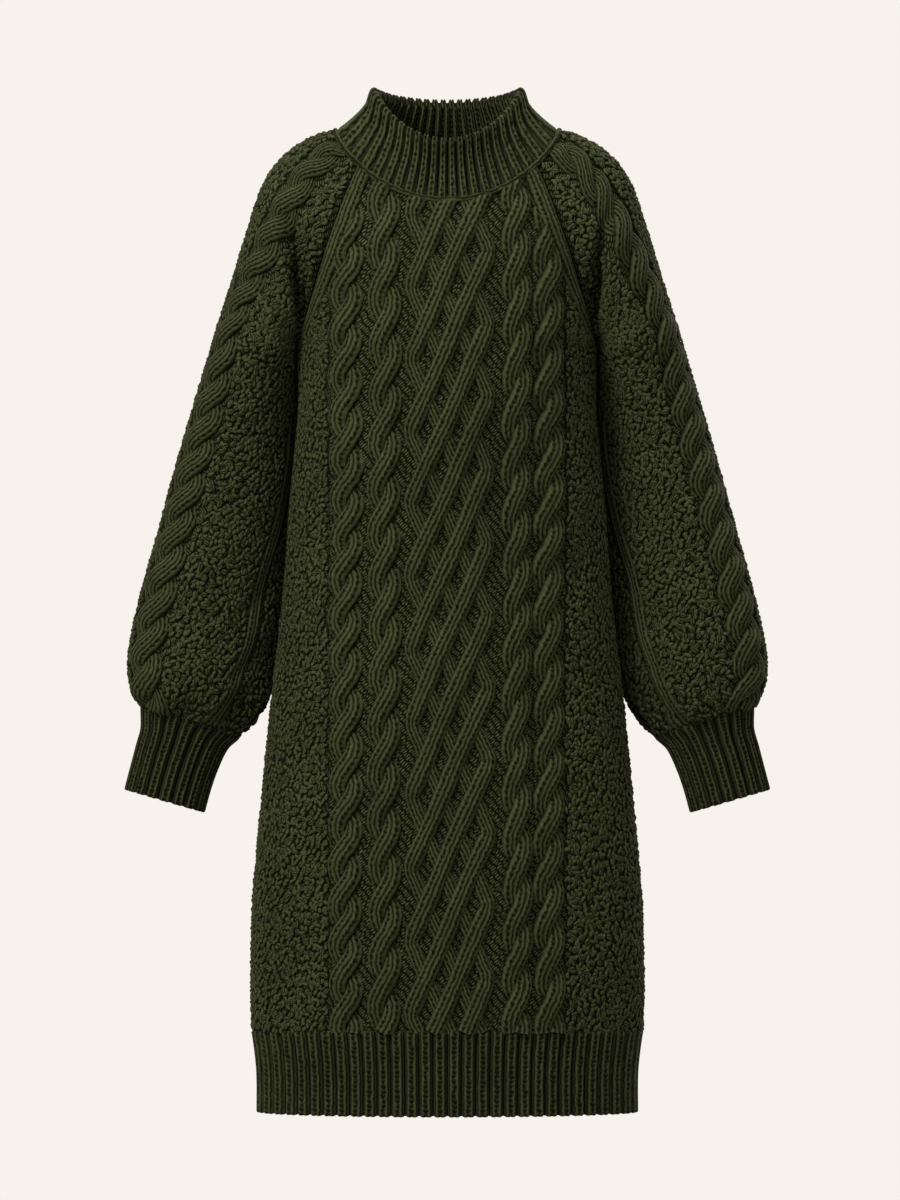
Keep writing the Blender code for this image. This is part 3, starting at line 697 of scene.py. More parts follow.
class Nodes:
    """Short ways to build a node tree."""

    def __init__(self, name):
        self.material = bpy.data.materials.new(name)
        self.material.use_nodes = True
        self.tree = self.material.node_tree
        self.shader = self.tree.nodes["Principled BSDF"]

    def node(self, kind):
        return self.tree.nodes.new(kind)

    def link(self, source, target):
        if isinstance(source, float):
            target.default_value = source
        elif isinstance(source, tuple):
            target.default_value = (*source, 1.0)
        else:
            self.tree.links.new(source.socket, target)

    def math(self, operation, a, b):
        n = self.node("ShaderNodeMath")
        n.operation = operation
        self.link(a, n.inputs[0])
        self.link(b, n.inputs[1])
        return Value(self, n.outputs[0])

    def noise(self, vector, scale, detail, rough):
        n = self.node("ShaderNodeTexNoise")
        for key, number in (("Scale", scale), ("Detail", detail), ("Roughness", rough)):
            n.inputs[key].default_value = number
        self.link(vector, n.inputs["Vector"])
        return Value(self, n.outputs["Fac"])

    def mix(self, share, a, b, blend="MIX"):
        n = self.node("ShaderNodeMix")
        n.data_type = "RGBA"
        n.blend_type = blend
        for source, target in ((share, 0), (a, 6), (b, 7)):
            self.link(source, n.inputs[target])
        return Value(self, n.outputs[2])

    def grey(self, value):
        n = self.node("ShaderNodeCombineColor")
        for target in n.inputs[:3]:
            self.link(value, target)
        return Value(self, n.outputs[0])


# The two darkest colours are painted shade for the hollows between stitches; the mid colour is the wool; the
# lightest is lighter fibre on the crowns, partly fibre tone and partly painted highlight.
YARN_GAP_PAINTED_SHADE = (0.0012, 0.0017, 0.0003)
YARN_PAINTED_SHADE = (0.0062, 0.0080, 0.0022)
YARN_MID = (0.0260, 0.0309, 0.0121)
YARN_FIBRE_AND_PAINTED_HIGHLIGHT = (0.0550, 0.0630, 0.0310)
SHEEN = (0.55, 0.60, 0.36)


def wool(name, kind, tint=1.0):
    """Olive wool. kind: knit, rib, lump or ground. The zone attribute paints shade: at 1, in gaps, grooves
    and on flanks, it darkens the colour; below 0, on the inside of the collar, it paints light.
    """
    w = Nodes(name)
    where = Value(w, w.node("ShaderNodeTexCoord").outputs["Object"])
    chart = w.node("ShaderNodeUVMap")
    chart.uv_map = "stitch"
    split = w.node("ShaderNodeSeparateXYZ")
    w.link(Value(w, chart.outputs["UV"]), split.inputs[0])
    u, v = Value(w, split.outputs[0]), Value(w, split.outputs[1])
    uneven = w.noise(where, 150.0, 1.0, 0.5).fit(0.3, 0.7, -0.5, 0.5)
    attribute = w.node("ShaderNodeAttribute")
    attribute.attribute_name = "zone"
    zone = Value(w, attribute.outputs["Fac"])

    fibre = w.noise(where, 1500.0, 3.0, 0.65)
    mottle = w.noise(where, 22.0, 3.0, 0.55)
    patch = w.noise(where, 260.0, 2.0, 0.5)

    if kind in ("knit", "rib"):
        rib = kind == "rib"
        cell = (u + uneven * 0.14).math("FRACT")
        leg = (cell - 0.5).math("ABSOLUTE") * 2.0
        phase = v + uneven * 0.35 + leg * 0.80
        wave = (phase * math.pi).math("SINE").math("ABSOLUTE").math("MAXIMUM", 0.001).math("POWER", 0.80)
        cord = (leg * math.pi).math("SINE").math("MAXIMUM", 0.001).math("POWER", 0.62)
        # the two legs meet in the middle of the column, with a small hole between one row and the next
        cord = cord.math("MAXIMUM", leg.fit(0.0, 0.34, 0.80 if rib else 0.62, 0.0) * wave)
        # neighbouring columns touch between the rows
        touch = 1.0 - wave * wave
        cord = cord.math("MAXIMUM", leg.fit(0.70, 1.0, 0.0, 0.50) * touch)
        open_gap = leg.fit(0.10, 0.42, 0.95, 0.0 if rib else 0.12)
        relief = cord * (1.0 - open_gap * (1.0 - wave))
        depth = 0.0022
    elif kind == "lump":
        looped = ((u + 2.0) * 0.25).math("FLOOR")
        along = u - looped * 4.0
        # The lump's border and the slit of a looped stitch are darkened in colour as painted shade, as well
        # as shaped by the bump.
        edge = (along * along + v * v).math("SQRT").fit(0.56, 0.96, 1.0, 0.04)
        slit = v.math("ABSOLUTE").fit(0.04, 0.26, 1.0, 0.0) * along.math("ABSOLUTE").fit(0.45, 0.75, 1.0, 0.0)
        slit = slit.math("MAXIMUM", 0.0) * looped
        ply = (along * 8.0 + v * 7.0).math("SINE")
        relief = edge + ply * 0.06 - slit * 0.8
        depth = 0.0011
        zone = zone * 0.55
    else:
        # small uneven ovals leaning up to the right, packed close
        place = w.node("ShaderNodeCombineXYZ")
        w.link(u * 0.74 - v * 0.45, place.inputs[0])
        w.link(u * 1.72 + v * 1.48, place.inputs[1])
        ovals = w.node("ShaderNodeTexVoronoi")
        ovals.voronoi_dimensions = "2D"
        ovals.feature = "DISTANCE_TO_EDGE"
        ovals.inputs["Scale"].default_value = 1.0
        ovals.inputs["Randomness"].default_value = 0.60
        w.link(Value(w, place.outputs[0]), ovals.inputs["Vector"])
        rounded = Value(w, ovals.outputs["Distance"]).fit(0.06, 0.30, 0.0, 1.0)
        relief = rounded.math("MAXIMUM", 0.001).math("POWER", 0.75)
        depth = 0.0021
        zone = zone * 0.14

    # Painted shade: low relief between stitches takes the gap and dark colours, the crowns the mid colour;
    # lighter fibres show only on the crowns, partly fibre tone and partly painted highlight.
    shade = relief.fit(0.42, 0.96, 0.0, 1.0)
    colour = w.mix(relief.fit(0.08, 0.52, 0.0, 1.0), YARN_GAP_PAINTED_SHADE, YARN_PAINTED_SHADE)
    colour = w.mix(shade, colour, YARN_MID)
    colour = w.mix(fibre.fit(0.50, 0.78, 0.0, 0.60) * shade, colour, YARN_FIBRE_AND_PAINTED_HIGHLIGHT)
    # Painted shade: the zone attribute darkens the colour towards the gap colour in gaps, grooves and on
    # flanks.
    colour = w.mix(zone * 0.92, colour, YARN_GAP_PAINTED_SHADE)
    tone = mottle.fit(0.3, 0.7, 0.86, 1.14) * patch.fit(0.3, 0.7, 0.86, 1.14) * tint
    if kind == "rib":
        # a negative zone paints light on the inside of the collar, lightening the wool against its shade
        tone = tone * (1.0 - zone.math("MINIMUM", 0.0))
    w.link(w.mix(1.0, colour, w.grey(tone), "MULTIPLY"), w.shader.inputs["Base Color"])

    w.link(fibre.fit(0.3, 0.7, 0.82, 0.98), w.shader.inputs["Roughness"])
    w.link(0.03, w.shader.inputs["Specular IOR Level"])
    w.link(0.02, w.shader.inputs["Sheen Weight"])
    w.link(0.55, w.shader.inputs["Sheen Roughness"])
    w.link(SHEEN, w.shader.inputs["Sheen Tint"])

    height = relief * 0.6 + ply * 0.10 if kind == "lump" else relief
    bump = w.node("ShaderNodeBump")
    w.link(1.0, bump.inputs["Strength"])
    w.link(depth, bump.inputs["Distance"])
    w.link(height + fibre * 0.14, bump.inputs["Height"])
    w.link(Value(w, bump.outputs["Normal"]), w.shader.inputs["Normal"])
    return w.material


# ---------------------------------------------------------------- front and back panels
LATTICE_MIDDLE = 0.0025
LATTICE_REACH = 0.0395   # half width of the lattice
LATTICE_LEG = 0.181      # height that a strand needs from one border to the other
LATTICE_TURN = -0.263    # z at which a strand turns at the border
LATTICE_STRANDS = 5
# middle x, cable half width, length of one crossing, phase of the first crossing
PANEL_CABLES = (
    (-0.1020, 0.0168, 0.0405, 0.10), (-0.0630, 0.0163, 0.0470, 0.62),
    (0.0695, 0.0145, 0.0460, 0.35), (0.1015, 0.0155, 0.0450, 0.80),
)
STRAND_HALF = 0.0092     # half width of each of a cable's two strands
STRAND_INSET = 0.0078    # a strand swings to this far from the cable's edge
CABLE_LIFT = 0.0024      # mean height of the strands, and how far they part where they cross
CABLE_CROSS = 0.0038
CABLE_THICK = 0.0060     # how far the sides of a strand go down
SEAM_BAND = 0.0205       # width of the knit columns beside a raglan seam
BAND_MIDDLE = 0.0108     # their middle lies this far from the seam
BAND_HALF = 0.0098
BAND_LIFT = 0.0020
BAND_THICK = 0.0044
MOSS_FROM = 0.117        # x where the cables end and the moss stitches begin


def panel_edge(u, point):
    """About how far a place of a panel is from its raglan seam."""
    return (1.0 - np.abs(u)) * np.maximum(np.abs(point[..., 0]), 0.05) * 1.15


def panel_surface(front):
    """Surface for strands laid at x, z."""

    def surface(x, z):
        row, u = locate(x, z, front)
        point, out = PANELS[front].at(row, u)
        band = np.where(row < UNDERARM_ROW, panel_edge(u, point) - SEAM_BAND, 1.0)
        inside = np.clip(np.minimum(band / 0.002, (row - 0.01) / 0.10), 0.0, 1.0)
        return point + out * panel_crease(row, u, front)[..., None], out, inside

    return surface


def tri(f):
    """Triangle wave with rounded corners, 0..1 period, from -1 to 1."""
    f = f - np.floor(f)
    raw = 1.0 - 4.0 * np.abs(f - 0.5)
    past = (np.abs(raw) - 0.90) / 0.10
    corner = np.sign(raw) * (0.90 + 0.10 * np.sin(past * math.pi / 2) * 0.64)
    return np.where(np.abs(raw) > 0.90, corner, raw)


def panel_strands(gather, front, step):
    surface = panel_surface(front)
    strips = 2 * len(PANEL_CABLES) + LATTICE_STRANDS
    z = np.arange(-0.006, HEM_SEAM_Z - 0.0008, -step)
    one = np.ones_like(z)
    strip = 0
    turn = 1.0 if front else -1.0
    for middle, half, crossing, start in PANEL_CABLES:
        wobble = 0.0009 * np.sin(z * 23.0 + middle * 90.0)
        phase = (z / crossing + start + 0.05 * np.sin(z * 17.0 + middle * 300.0)) * math.pi
        for k in (0, 1):
            angle = phase + k * math.pi
            s = middle * turn + wobble + (half - STRAND_INSET) * np.cos(angle)
            lift = CABLE_LIFT - CABLE_CROSS * np.sin(angle)
            wide = STRAND_HALF - 0.0006 * np.sin(angle)
            strand(gather, surface, s, z, wide, lift, CABLE_THICK * one, 2, strip, strips, phase=k * 0.5)
            strip += 1
    for k in range(LATTICE_STRANDS):
        f = (z - LATTICE_TURN + k * 2 * LATTICE_LEG / LATTICE_STRANDS) / (2 * LATTICE_LEG)
        wave = tri(f + 0.5)
        place = f % 1.0
        # from the right border down to the left one the strand leans up to the right, on top
        top_leg = ramp(place, 0.49, 0.53) * (1.0 - ramp(place, 0.97, 1.0))
        top_leg = top_leg + (1.0 - ramp(place, 0.0, 0.02)) * 0.5
        s = LATTICE_MIDDLE * turn + LATTICE_REACH * wave + 0.0007 * np.sin(z * 47.0 + k * 2.1)
        lift = 0.0010 + 0.0038 * top_leg
        half = 0.0074 + (0.0020 + 0.0004 * np.sin(z * 71.0 + k)) * top_leg
        thick = 0.0034 + 0.0036 * top_leg
        strand(gather, surface, s, z, half, lift, thick, 2, strip, strips, phase=k * 0.37)
        strip += 1


def raglan_bands(gather, front, step):
    """Two knit columns beside each raglan seam."""
    rows = np.linspace(0.0, UNDERARM_ROW, int(0.23 / step))
    one = np.ones_like(rows)
    for hand in (-1.0, 1.0):
        edge = panel_point(rows, hand * one, front)
        near = panel_point(rows, hand * 0.99 * one, front)
        per = np.linalg.norm(edge - near, axis=-1) / 0.01
        length = run_length(edge)

        def surface(s, t):
            row = np.interp(t, length, rows)
            u = hand * (1.0 - s / np.interp(t, length, per))
            point, out = PANELS[front].at(row, u)
            return point + out * panel_crease(row, u, front)[..., None], out, np.ones_like(row)

        strand(gather, surface, BAND_MIDDLE * one, length, BAND_HALF * one, BAND_LIFT * one,
               BAND_THICK * one, 2, 0 if hand < 0 else 1, 2, side=-hand * (1.0 if front else -1.0))


MOSS_W = 0.0055
MOSS_L = 0.0049
MOSS_SLOPE = 0.25        # the rows of moss stitches climb at this slope


def moss_places(rng, reach, length, lean):
    """Staggered, leaning and uneven rows of places: w to either side, l down the piece."""
    wide = int(reach / MOSS_W) + 2
    deep = int((length + MOSS_SLOPE * reach) / MOSS_L) + 2
    i, j = np.meshgrid(np.arange(-wide, wide + 1), np.arange(-deep, deep + 1))
    i, j = i.ravel(), j.ravel()
    w = (i + 0.5 * (j % 2)) * MOSS_W
    l = j * MOSS_L + MOSS_SLOPE * lean * w
    keep = (l > -0.02) & (l < length + 0.02)
    w, l = w[keep], l[keep]
    w = w + 0.0016 * np.sin(l * 61.0 + 2.0 * np.sin(w * 37.0)) + rng.normal(0.0, 0.0013, len(w))
    l = l + 0.0016 * np.sin(w * 53.0 + 2.0 * np.sin(l * 29.0)) + rng.normal(0.0, 0.0013, len(w))
    return w, l


def moss_shapes(rng, n):
    """Lean and shape of every moss stitch, most of them leaning up to the right."""
    angle = np.where(rng.random(n) < 0.66, rng.normal(58.0, 28.0, n), rng.normal(-40.0, 38.0, n))
    long = rng.uniform(0.0037, 0.0055, n)
    wide = rng.uniform(0.0022, 0.0029, n)
    tall = rng.uniform(0.0024, 0.0037, n)
    looped = (rng.random(n) < 0.40).astype(float)
    bend = rng.normal(0.0, 0.0013, n)
    return np.radians(angle), (long, wide + 0.0007 * looped, tall, bend, looped)


def lay_moss(gather, rng, table, row, share, crease, tight, lean, sides, scale):
    """A moss stitch at every row and share of a table, lower where tight."""
    place, out = table.at(row, share)
    down = unit(table.at(row + 0.1, share)[0] - table.at(row - 0.1, share)[0])
    across = unit(np.cross(out, down))
    angle, (long, wide, tall, bend, looped) = moss_shapes(rng, len(row))
    angle = angle * lean
    along = unit(across * np.cos(angle)[:, None] - down * np.sin(angle)[:, None])
    base = place + out * (crease - GROUND_DROP)[:, None]
    chart = np.stack([0.5 + 0.48 * share, 0.98 - 0.94 * (row / table.rows[-1])], axis=-1)
    shape = (long, wide, tall * (1.0 - 0.5 * tight), bend, looped)
    lumps(gather, base, out, along, shape, chart, sides, scale)


def panel_moss(gather, front, sides, seed):
    rng = np.random.default_rng(seed)
    table = PANELS[front]
    turn = 1.0 if front else -1.0
    arc = run_length(table.place, 1)
    arc = arc - arc[:, [PANEL_MIDDLE]]
    length = run_length(table.place[:, PANEL_SIDE])
    w, l = moss_places(rng, arc[:, -1].max(), length[-1], turn)
    row = np.interp(l, length, table.rows)
    index = np.clip(np.rint(row * PANEL_PER_ROW).astype(int), 0, len(table.rows) - 1)
    u = np.array([np.interp(w[i], arc[index[i]], table.shares) for i in range(len(w))])
    x = table.at(row, u)[0][:, 0]
    limit = MOSS_FROM + np.where(x * turn < 0, 0.0030, 0.0020)
    border = arc[index, -1] - 0.0015 - np.where(row < UNDERARM_ROW, SEAM_BAND + 0.0015, 0.0)
    keep = (np.abs(x) > limit) & (np.abs(w) < border) & (row > 3.8) & (row < LAST_BODY_ROW - 0.04)
    keep &= (l > 0.0) & (l < length[-1])
    row, u = row[keep], u[keep]
    tight = ramp(np.abs(u), 0.93, 0.97) * (row > UNDERARM_ROW) * (row < 17.0)
    lay_moss(gather, rng, table, row, u, panel_crease(row, u, front), tight, 1.0, sides, (1.6, 1.0))


def panel_ground(gather, front):
    yoke = np.linspace(0.0, UNDERARM_ROW, 41)
    rows = np.concatenate([yoke, np.linspace(UNDERARM_ROW, LAST_BODY_ROW, 121)[1:]])
    r, c = np.meshgrid(rows, np.linspace(-1.0, 1.0, 101), indexing="ij")
    place, out = PANELS[front].at(r, c)
    arc = run_length(place, 1)
    arc = arc - arc[:, 50:51]
    from_middle = np.abs(place[..., 0])
    # zone is 1 among the moss stitches, where it paints shade on the ground; where it is 0, under the cables,
    # the ground lies deeper
    zone = ramp(from_middle, MOSS_FROM, MOSS_FROM + 0.004)
    drop = GROUND_DROP + 0.0008 * (1.0 - zone)
    tight = ramp(np.abs(c), 0.90, 0.96) * (r > UNDERARM_ROW - 0.5) * (1.0 - ramp(r, 17.0, 19.0))
    drop = drop * (1.0 - tight) - 0.0010 * tight
    seam = 1.0 - ramp(panel_edge(c, place), 0.0, 0.0035)
    drop = drop + 0.0010 * seam * (r < UNDERARM_ROW)
    crease = panel_crease(r, c, front)
    outer = place + out * (crease - drop)[..., None]
    inner = place + out * (crease - drop - SHELL)[..., None]
    across = np.where(from_middle < 0.12, place[..., 0], np.sign(c) * np.abs(arc))
    stitch = np.stack([across / STITCH, -place[..., 2] / ROW], axis=-1)
    if not front:
        outer, inner, stitch, zone = (grid[:, ::-1] for grid in (outer, inner, stitch, zone))
    shell(gather, outer, inner, stitch, zone, 2)


# ---------------------------------------------------------------- sleeves
CABLE_SHARE_ROWS = (0.0, 1.0, 3.0, 5.0, 7.0, 8.5, 10.0, 12.0, 16.0, 20.0, 23.0, 25.0)
CABLE_SHARE = (-0.53, -0.535, -0.54, -0.51, -0.39, -0.29, -0.215, -0.205, -0.195, -0.19, -0.20, -0.21)
LINE_SHARE_ROWS = (12.0, 15.5, 17.5, 19.5, 22.0, 25.0)
LINE_SHARE = (-0.86, -0.79, -0.72, -0.70, -0.66, -0.62)


LINE_FROM = 12.6         # the knit columns of the inner side start at this row
SLEEVE_CROSSING = 0.0365 # length of one crossing of the sleeve's cable
SLEEVE_SWING = 0.0104    # how far its two strands swing to either side
SLEEVE_STRAND = 0.0124   # their half width
SLEEVE_LIFT = 0.0032     # their mean height, and how far they part where they cross
SLEEVE_CROSS = 0.0044
SLEEVE_THICK = 0.0070
CABLE_ASIDE = 0.0040     # the cable's middle lies this far ahead of the chart's zero line
HALF_ROUND = 0.14        # about half the way round a sleeve
CHART_STEPS = 400        # rows of the chart below
CHART_REACH = 0.36
CHART_PLACES = 720


class SleeveChart:
    """w along the rings from the cable's middle (towards the back), l down the sleeve."""

    def __init__(self):
        self.rows = np.linspace(0.0, LAST_ARM_ROW, CHART_STEPS + 1)
        self.shares = np.linspace(-1.0, 1.0, 241)
        middle = smooth(CABLE_SHARE_ROWS, CABLE_SHARE, self.rows)
        r, s = np.meshgrid(self.rows, self.shares, indexing="ij")
        arc = run_length(sleeve_point(r, s), 1)
        zero = np.array([np.interp(m, self.shares, line) for m, line in zip(middle, arc)])
        self.arc = arc - zero[:, None]
        self.length = run_length(sleeve_point(self.rows, middle))
        wide = np.linspace(-CHART_REACH, CHART_REACH, CHART_PLACES + 1)
        self.inverse = np.array([np.interp(wide, line, self.shares) for line in self.arc])

    def at(self, w, l):
        """Row and share at a place of the chart."""
        w, l = full(w, l)
        row = np.interp(l, self.length, self.rows)
        place = (w + CHART_REACH) / (2 * CHART_REACH) * CHART_PLACES
        return row, between(self.inverse, np.clip(row / LAST_ARM_ROW * CHART_STEPS, 0, CHART_STEPS - 0.001),
                            np.clip(place, 0, CHART_PLACES - 0.001))

    def across(self, share, index):
        """w of a share on the chart's row of that index."""
        return np.array([np.interp(s, self.shares, self.arc[i]) for s, i in zip(share, index)])


CHART = SleeveChart()
ARM_LENGTH = CHART.length[-1]


def sleeve_surface(turn):
    def surface(w, l):
        row, share = CHART.at(w, l)
        point, out = SLEEVE.at(row, share)
        band = np.where(row < UNDERARM_ROW, (1.0 - np.abs(share)) * HALF_ROUND - 0.004, 1.0)
        ends = np.minimum(l / 0.012, (ARM_LENGTH - 0.001 - l) / 0.003)
        inside = np.clip(np.minimum(band / 0.002, ends), 0.0, 1.0)
        return point + out * sleeve_crease(row, share, turn)[..., None], out, inside

    return surface


def sleeve_strands(gather, lean, turn, step):
    surface = sleeve_surface(turn)
    l = np.arange(0.0, ARM_LENGTH, step)
    phase = (l / SLEEVE_CROSSING + 0.3 + 0.05 * np.sin(l * 19.0 + turn)) * math.pi * lean
    size = 0.80 + 0.20 * ramp(l, 0.04, 0.15)
    for k in (0, 1):
        angle = phase + k * math.pi
        w = SLEEVE_SWING * size * np.cos(angle) - CABLE_ASIDE
        lift = SLEEVE_LIFT + SLEEVE_CROSS * size * np.sin(angle)
        thick = np.full_like(l, SLEEVE_THICK)
        strand(gather, surface, w, l, SLEEVE_STRAND * size, lift, thick, 3, k, 3, phase=0.5 * k, side=-1.0)
    l = np.arange(np.interp(LINE_FROM, CHART.rows, CHART.length), ARM_LENGTH, step)
    row = np.interp(l, CHART.length, CHART.rows)
    index = np.clip(np.searchsorted(CHART.rows, row), 0, CHART_STEPS)
    w = CHART.across(smooth(LINE_SHARE_ROWS, LINE_SHARE, row), index)
    one = np.ones_like(l)
    strand(gather, surface, w, l, 0.0084 * one, 0.0014 * one, 0.0036 * one, 2, 2, 3, side=-1.0)


def sleeve_moss(gather, turn, sides, seed, lean):
    rng = np.random.default_rng(seed)
    w, l = moss_places(rng, 0.34, ARM_LENGTH, lean)
    row, share = CHART.at(w, l)
    index = np.clip(np.rint(row / LAST_ARM_ROW * CHART_STEPS).astype(int), 0, CHART_STEPS)
    gap = np.where(row < UNDERARM_ROW, 0.0045, 0.0015)
    line = CHART.across(smooth(LINE_SHARE_ROWS, LINE_SHARE, row), index)
    keep = np.abs(w + CABLE_ASIDE) > 0.0195 + 0.0040 * ramp(l, 0.04, 0.15)
    keep &= (np.abs(w - line) > 0.0104) | (row < LINE_FROM)
    keep &= (w > CHART.arc[index, 0] + gap) & (w < CHART.arc[index, -1] - gap)
    keep &= (l > 0.0035) & (l < ARM_LENGTH - 0.003)
    row, share = row[keep], share[keep]
    tight = ramp(np.abs(share), 0.84, 0.92) * (row > UNDERARM_ROW) * (row < 20.0)
    crease = sleeve_crease(row, share, turn)
    lay_moss(gather, rng, SLEEVE, row, share, crease, tight, lean, sides, (1.8, 1.4))


def sleeve_ground(gather, turn):
    closed = 44
    rows = np.concatenate([np.linspace(0.0, UNDERARM_ROW, closed + 1),
                           np.linspace(UNDERARM_ROW, 20.0, 59)[1:], np.linspace(20.0, LAST_ARM_ROW, 37)[1:]])
    shares = np.linspace(-1.0, 1.0, 97)
    r, s = np.meshgrid(rows, shares, indexing="ij")
    place, out = SLEEVE.at(r, s)
    crease = sleeve_crease(r, s, turn)
    for grid in (place, out, crease):
        grid[closed:, -1] = grid[closed:, 0]
    index = [int(round(row / LAST_ARM_ROW * CHART_STEPS)) for row in rows]
    arc = np.array([np.interp(shares, CHART.shares, CHART.arc[i]) for i in index])
    length = np.interp(rows, CHART.rows, CHART.length)[:, None] + 0.0 * s
    from_cable = np.abs(arc + CABLE_ASIDE)
    seam = (1.0 - ramp((1.0 - np.abs(s)) * HALF_ROUND, 0.0, 0.0035)) * (r < UNDERARM_ROW)
    drop = GROUND_DROP + 0.0010 * seam + 0.0008 * (1.0 - ramp(from_cable, 0.021, 0.026))
    tight = ramp(np.abs(s), 0.80, 0.90) * (r > UNDERARM_ROW - 0.5) * (1.0 - ramp(r, 18.0, 20.0))
    drop = drop * (1.0 - tight) - 0.0006 * tight
    outer = place + out * (crease - drop)[..., None]
    inner = place + out * (crease - drop - SHELL)[..., None]
    stitch = np.stack([arc / STITCH, length / ROW], axis=-1)
    # the zone passed to the shell paints shade on the ground away from the cable, among the moss stitches
    shell(gather, outer, inner, stitch, ramp(from_cable, 0.022, 0.025), 2, closed_from=closed)


# ---------------------------------------------------------------- ribbing
RIB_AT = np.array((-0.50, -0.425, -0.350, -0.24, -0.12, 0.0, 0.12, 0.24, 0.350, 0.425))
RIB_UP = np.array((-1.0, -0.95, -0.36, 0.0, -0.08, -0.34, -0.08, 0.0, -0.36, -0.95))
# the second column of stitches lies in the groove
RIB_U = np.array((-0.50, -0.28, -0.02, 0.25, 0.40, 0.50, 0.60, 0.75, 1.02, 1.28))
# painted shade across a rib, darkest in the groove
GROOVE_PAINTED_SHADE = np.array((0.88, 0.74, 0.30, 0.0, 0.0, 0.12, 0.0, 0.0, 0.30, 0.74))


def rib_columns(ribs, squeeze=1.0):
    """Rib coordinate, height share and stitch column of every grid column.

    squeeze narrows the raised part.
    """
    number = np.repeat(np.arange(ribs), len(RIB_AT))
    place = np.where(RIB_AT > -0.5, RIB_AT * squeeze, RIB_AT)
    at = number + 0.5 + np.tile(place, ribs)
    up = np.append(np.tile(RIB_UP, ribs), RIB_UP[0])
    return np.append(at, ribs), up, np.append(2 * number + np.tile(RIB_U, ribs), 2 * ribs - 0.5)


def rib_wall(gather, outer, inner, stitch_u, lengths, closed, lip_height=0.8, rim_painted_shade=0.0,
             inside_painted_light=0.0):
    """Outer and inner rib surfaces joined round the open edge, rows from seam to open edge."""
    rows, cols = outer.shape[:2]
    ahead = unit(outer[-1] - outer[-2])
    middle = (outer[-1] + inner[-1]) / 2
    half = (outer[-1] - inner[-1]) / 2
    radius = np.linalg.norm(half, axis=-1, keepdims=True)
    turns = np.radians((30.0, 65.0, 90.0, 115.0, 150.0))
    lip = [middle + half * math.cos(a) + ahead * radius * lip_height * math.sin(a) for a in turns]
    sheet = np.concatenate([outer, np.array(lip), inner[::-1]], axis=0)
    lip_len = lengths[-1] + np.linspace(0.001, 0.006, len(turns))
    length = np.concatenate([lengths, lip_len, lengths[-1] + 0.007 + (lengths[-1] - lengths[::-1])])
    total = len(sheet)
    number = np.arange(total * cols).reshape(total, cols)
    if closed:
        number[:, -1] = number[:, 0]
    stitch = plane(stitch_u, length / ROW)
    bake = plane(np.linspace(0.01, 0.99, cols), np.linspace(0.99, 0.01, total + 1))
    # Painted shade in the rib grooves, deepened towards the open edge for the collar; the inside carries less
    # of it, and the collar's inside gets painted light.
    groove = np.append(np.tile(GROOVE_PAINTED_SHADE, (cols - 1) // len(GROOVE_PAINTED_SHADE)), GROOVE_PAINTED_SHADE[0])
    dark = np.tile(groove, (total, 1))
    seen, hidden = np.split(dark, [rows + len(turns)])
    reach = np.append(ramp(lengths / lengths[-1], 0.20, 0.65), np.ones(len(turns)))[:, None]
    seen += rim_painted_shade * reach * (seen ** 0.5 - seen)
    hidden *= 0.15
    hidden -= inside_painted_light
    parts = [cells(number, stitch, bake[:total]), cells(number[[-1, 0]], stitch[[-1, -1]], bake[-2:])]
    if not closed:
        # the two sides are closed with a ladder of faces; total is odd, so it ends in a triangle
        for column, turned in ((0, True), (-1, False)):
            for i in range(total // 2):
                at = [i, i + 1, total - 2 - i, total - 1 - i]
                if at[1] == at[2]:
                    del at[2]
                part = tuple(grid[at, column][None] for grid in (number, stitch, bake))
                parts.append(turned_over(part) if turned else part)
    gather.add(sheet, parts, dark)


COLLAR_LENGTH = 0.052
COLLAR_DEEP = 0.0062     # depth of its ribs
COLLAR_RIBS_PER_QUARTER = 10.5
COLLAR_BASE_CROWD = 0.80     # share of ribs spread by x rather than by angle
COLLAR_RIM_CROWD = 0.50


def collar_angle(quarter, crowd):
    """Angle of a rib coordinate, more ribs at the centre front and back than at the sides."""
    angles = np.linspace(0.0, math.pi / 2, 400)
    count = crowd * np.sin(angles) + (1.0 - crowd) * angles / (math.pi / 2)
    turn = np.floor(quarter)
    part = quarter - turn
    odd = (turn % 2) == 1
    value = np.interp(np.where(odd, 1.0 - part, part), count, angles)
    return np.where(odd, (turn + 1) * math.pi / 2 - value, turn * math.pi / 2 + value)


